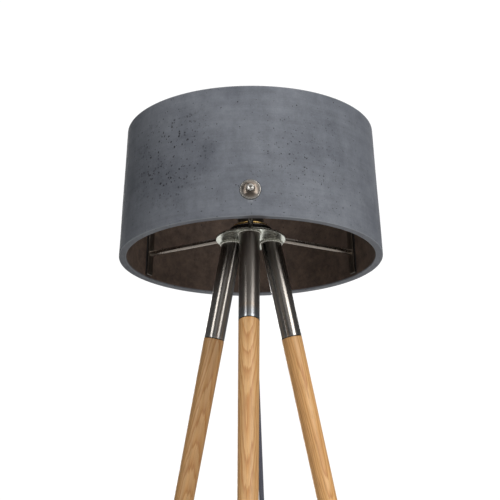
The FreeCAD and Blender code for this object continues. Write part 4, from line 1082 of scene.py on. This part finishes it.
def ease(t, start, end):
    """0 before start, 1 after end and a straight rise between."""
    return np.clip((t - start) / (end - start), 0, 1)


turns = np.arange(1, 4 * COIL_POINTS) / COIL_POINTS
reach = COIL_WIDE - (COIL_WIDE - COIL_NARROW) * (ease(turns, 0.85, 1.10) - ease(turns, 2.85, 3.10))
rise = COIL_LOW + (COIL_HIGH - COIL_LOW) * ease(turns, 1.70, 1.95)
wound = around(reach / CORNER_CUT, rise, np.radians(90 + 360 * turns)) + np.array([COIL_X, COIL_Y, 0])
COIL_ROUTE = [(22.0, 171.0, 9.0), (-8.0, 171.3, 6.2), (-40.0, 170.9, 3.6), *wound.tolist(),
              (-102.0, 171.2, 12.6), (-128.0, 172.0, 17.2), (-152.0, 172.0, 19.0)]
coil_line, coil_run = laid_line("coil_line", COIL_ROUTE)
coil_tube, coil_weave = cord_grid(coil_line, coil_run)
coiled_cord = mesh_piece("coiled_cord", [coil_tube], textile,
                         "cord_lead_in cord_coil cord_lead_out", marks={"weave": coil_weave})

# ---- Mains plug ----
# A straight moulded two-pin plug for an earthed European socket: round body with finger grooves,
# nickel pins and sprung earth strips at its two edges, and a ribbed boot round the cord.
PLUG_TIP = (-0.152, 0.172, 0.019)
BACK = 0.030
FACE = BACK + 0.038
PLUG_R = 0.0188
PIN_R = 0.0024
PIN_L = 0.019
PIN_PITCH = 0.019
CLIP_W = 0.006
CLIP_T = 0.0008
SLOT_FLOOR = PLUG_R - 2 * CLIP_T


def from_tip(grid):
    """A shape turned about Z laid along the plug, away from the cord."""
    return along_x(grid, *PLUG_TIP, -1)


boot = lathe(np.concatenate([[(0, 0), (GLAND_TIP_R - 0.0003, 0)],
                             ribbed_cone(GLAND_TIP_R, 0.0065, BACK, 8, 0.0006, 90), [(0, BACK)]]), 64)
plug_boot = mesh_piece("plug_boot", [from_tip(boot)], moulded, "plug_grip", sharp=70.0)
grooves = [(PLUG_R - deep, BACK + 0.0195 + 0.0032 * k + s) for k in range(4)
           for deep, s in ((0, 0), (0.0007, 0.0006), (0.0007, 0.0010), (0, 0.0016))]
head = lathe(rounded([(0, BACK), (0.010, BACK), (0.013, BACK + 0.003), (PLUG_R - 0.002, BACK + 0.013),
                      (PLUG_R, BACK + 0.017), *grooves, (PLUG_R, FACE), (0, FACE)],
                     [0] + [0.0025] * 4 + [0.0004] * 16 + [0.0012, 0], 5), 192)
side, level, depth = np.abs(head[..., 0]), np.abs(head[..., 1]), head[..., 2]
slot_here = (level < CLIP_W / 2) & (depth > FACE - 0.017) & (side > 0.006)
head[..., 0] = np.where(slot_here, np.sign(head[..., 0]) * np.minimum(side, SLOT_FLOOR), head[..., 0])
plug_head = mesh_piece("plug_head", [from_tip(head)], moulded, "plug_body")
t = np.linspace(0, np.pi / 2, 9)
pin = lathe(np.concatenate([[(0, FACE - 0.012), (PIN_R, FACE - 0.012), (PIN_R, FACE)],
                            np.stack([PIN_R * np.cos(t), FACE + PIN_L - PIN_R + PIN_R * np.sin(t)], -1)]), 48)
pins = [from_tip(pin + np.array([0, side * PIN_PITCH / 2, 0])) for side in (-1, 1)]
plug_pins = mesh_piece("plug_pins_round", pins, nickel, "plug_pins")
across, up, thick = np.moveaxis(soft_block(CLIP_W - 0.0004, 0.015, 0, CLIP_T, 0.001, 0.0002), -1, 0)
clips = [from_tip(np.stack([side * (SLOT_FLOOR + thick), across, FACE - 0.009 + up], -1)) for side in (-1, 1)]
plug_clips = mesh_piece("plug_earth_strips", clips, nickel, "plug_earth_clips")
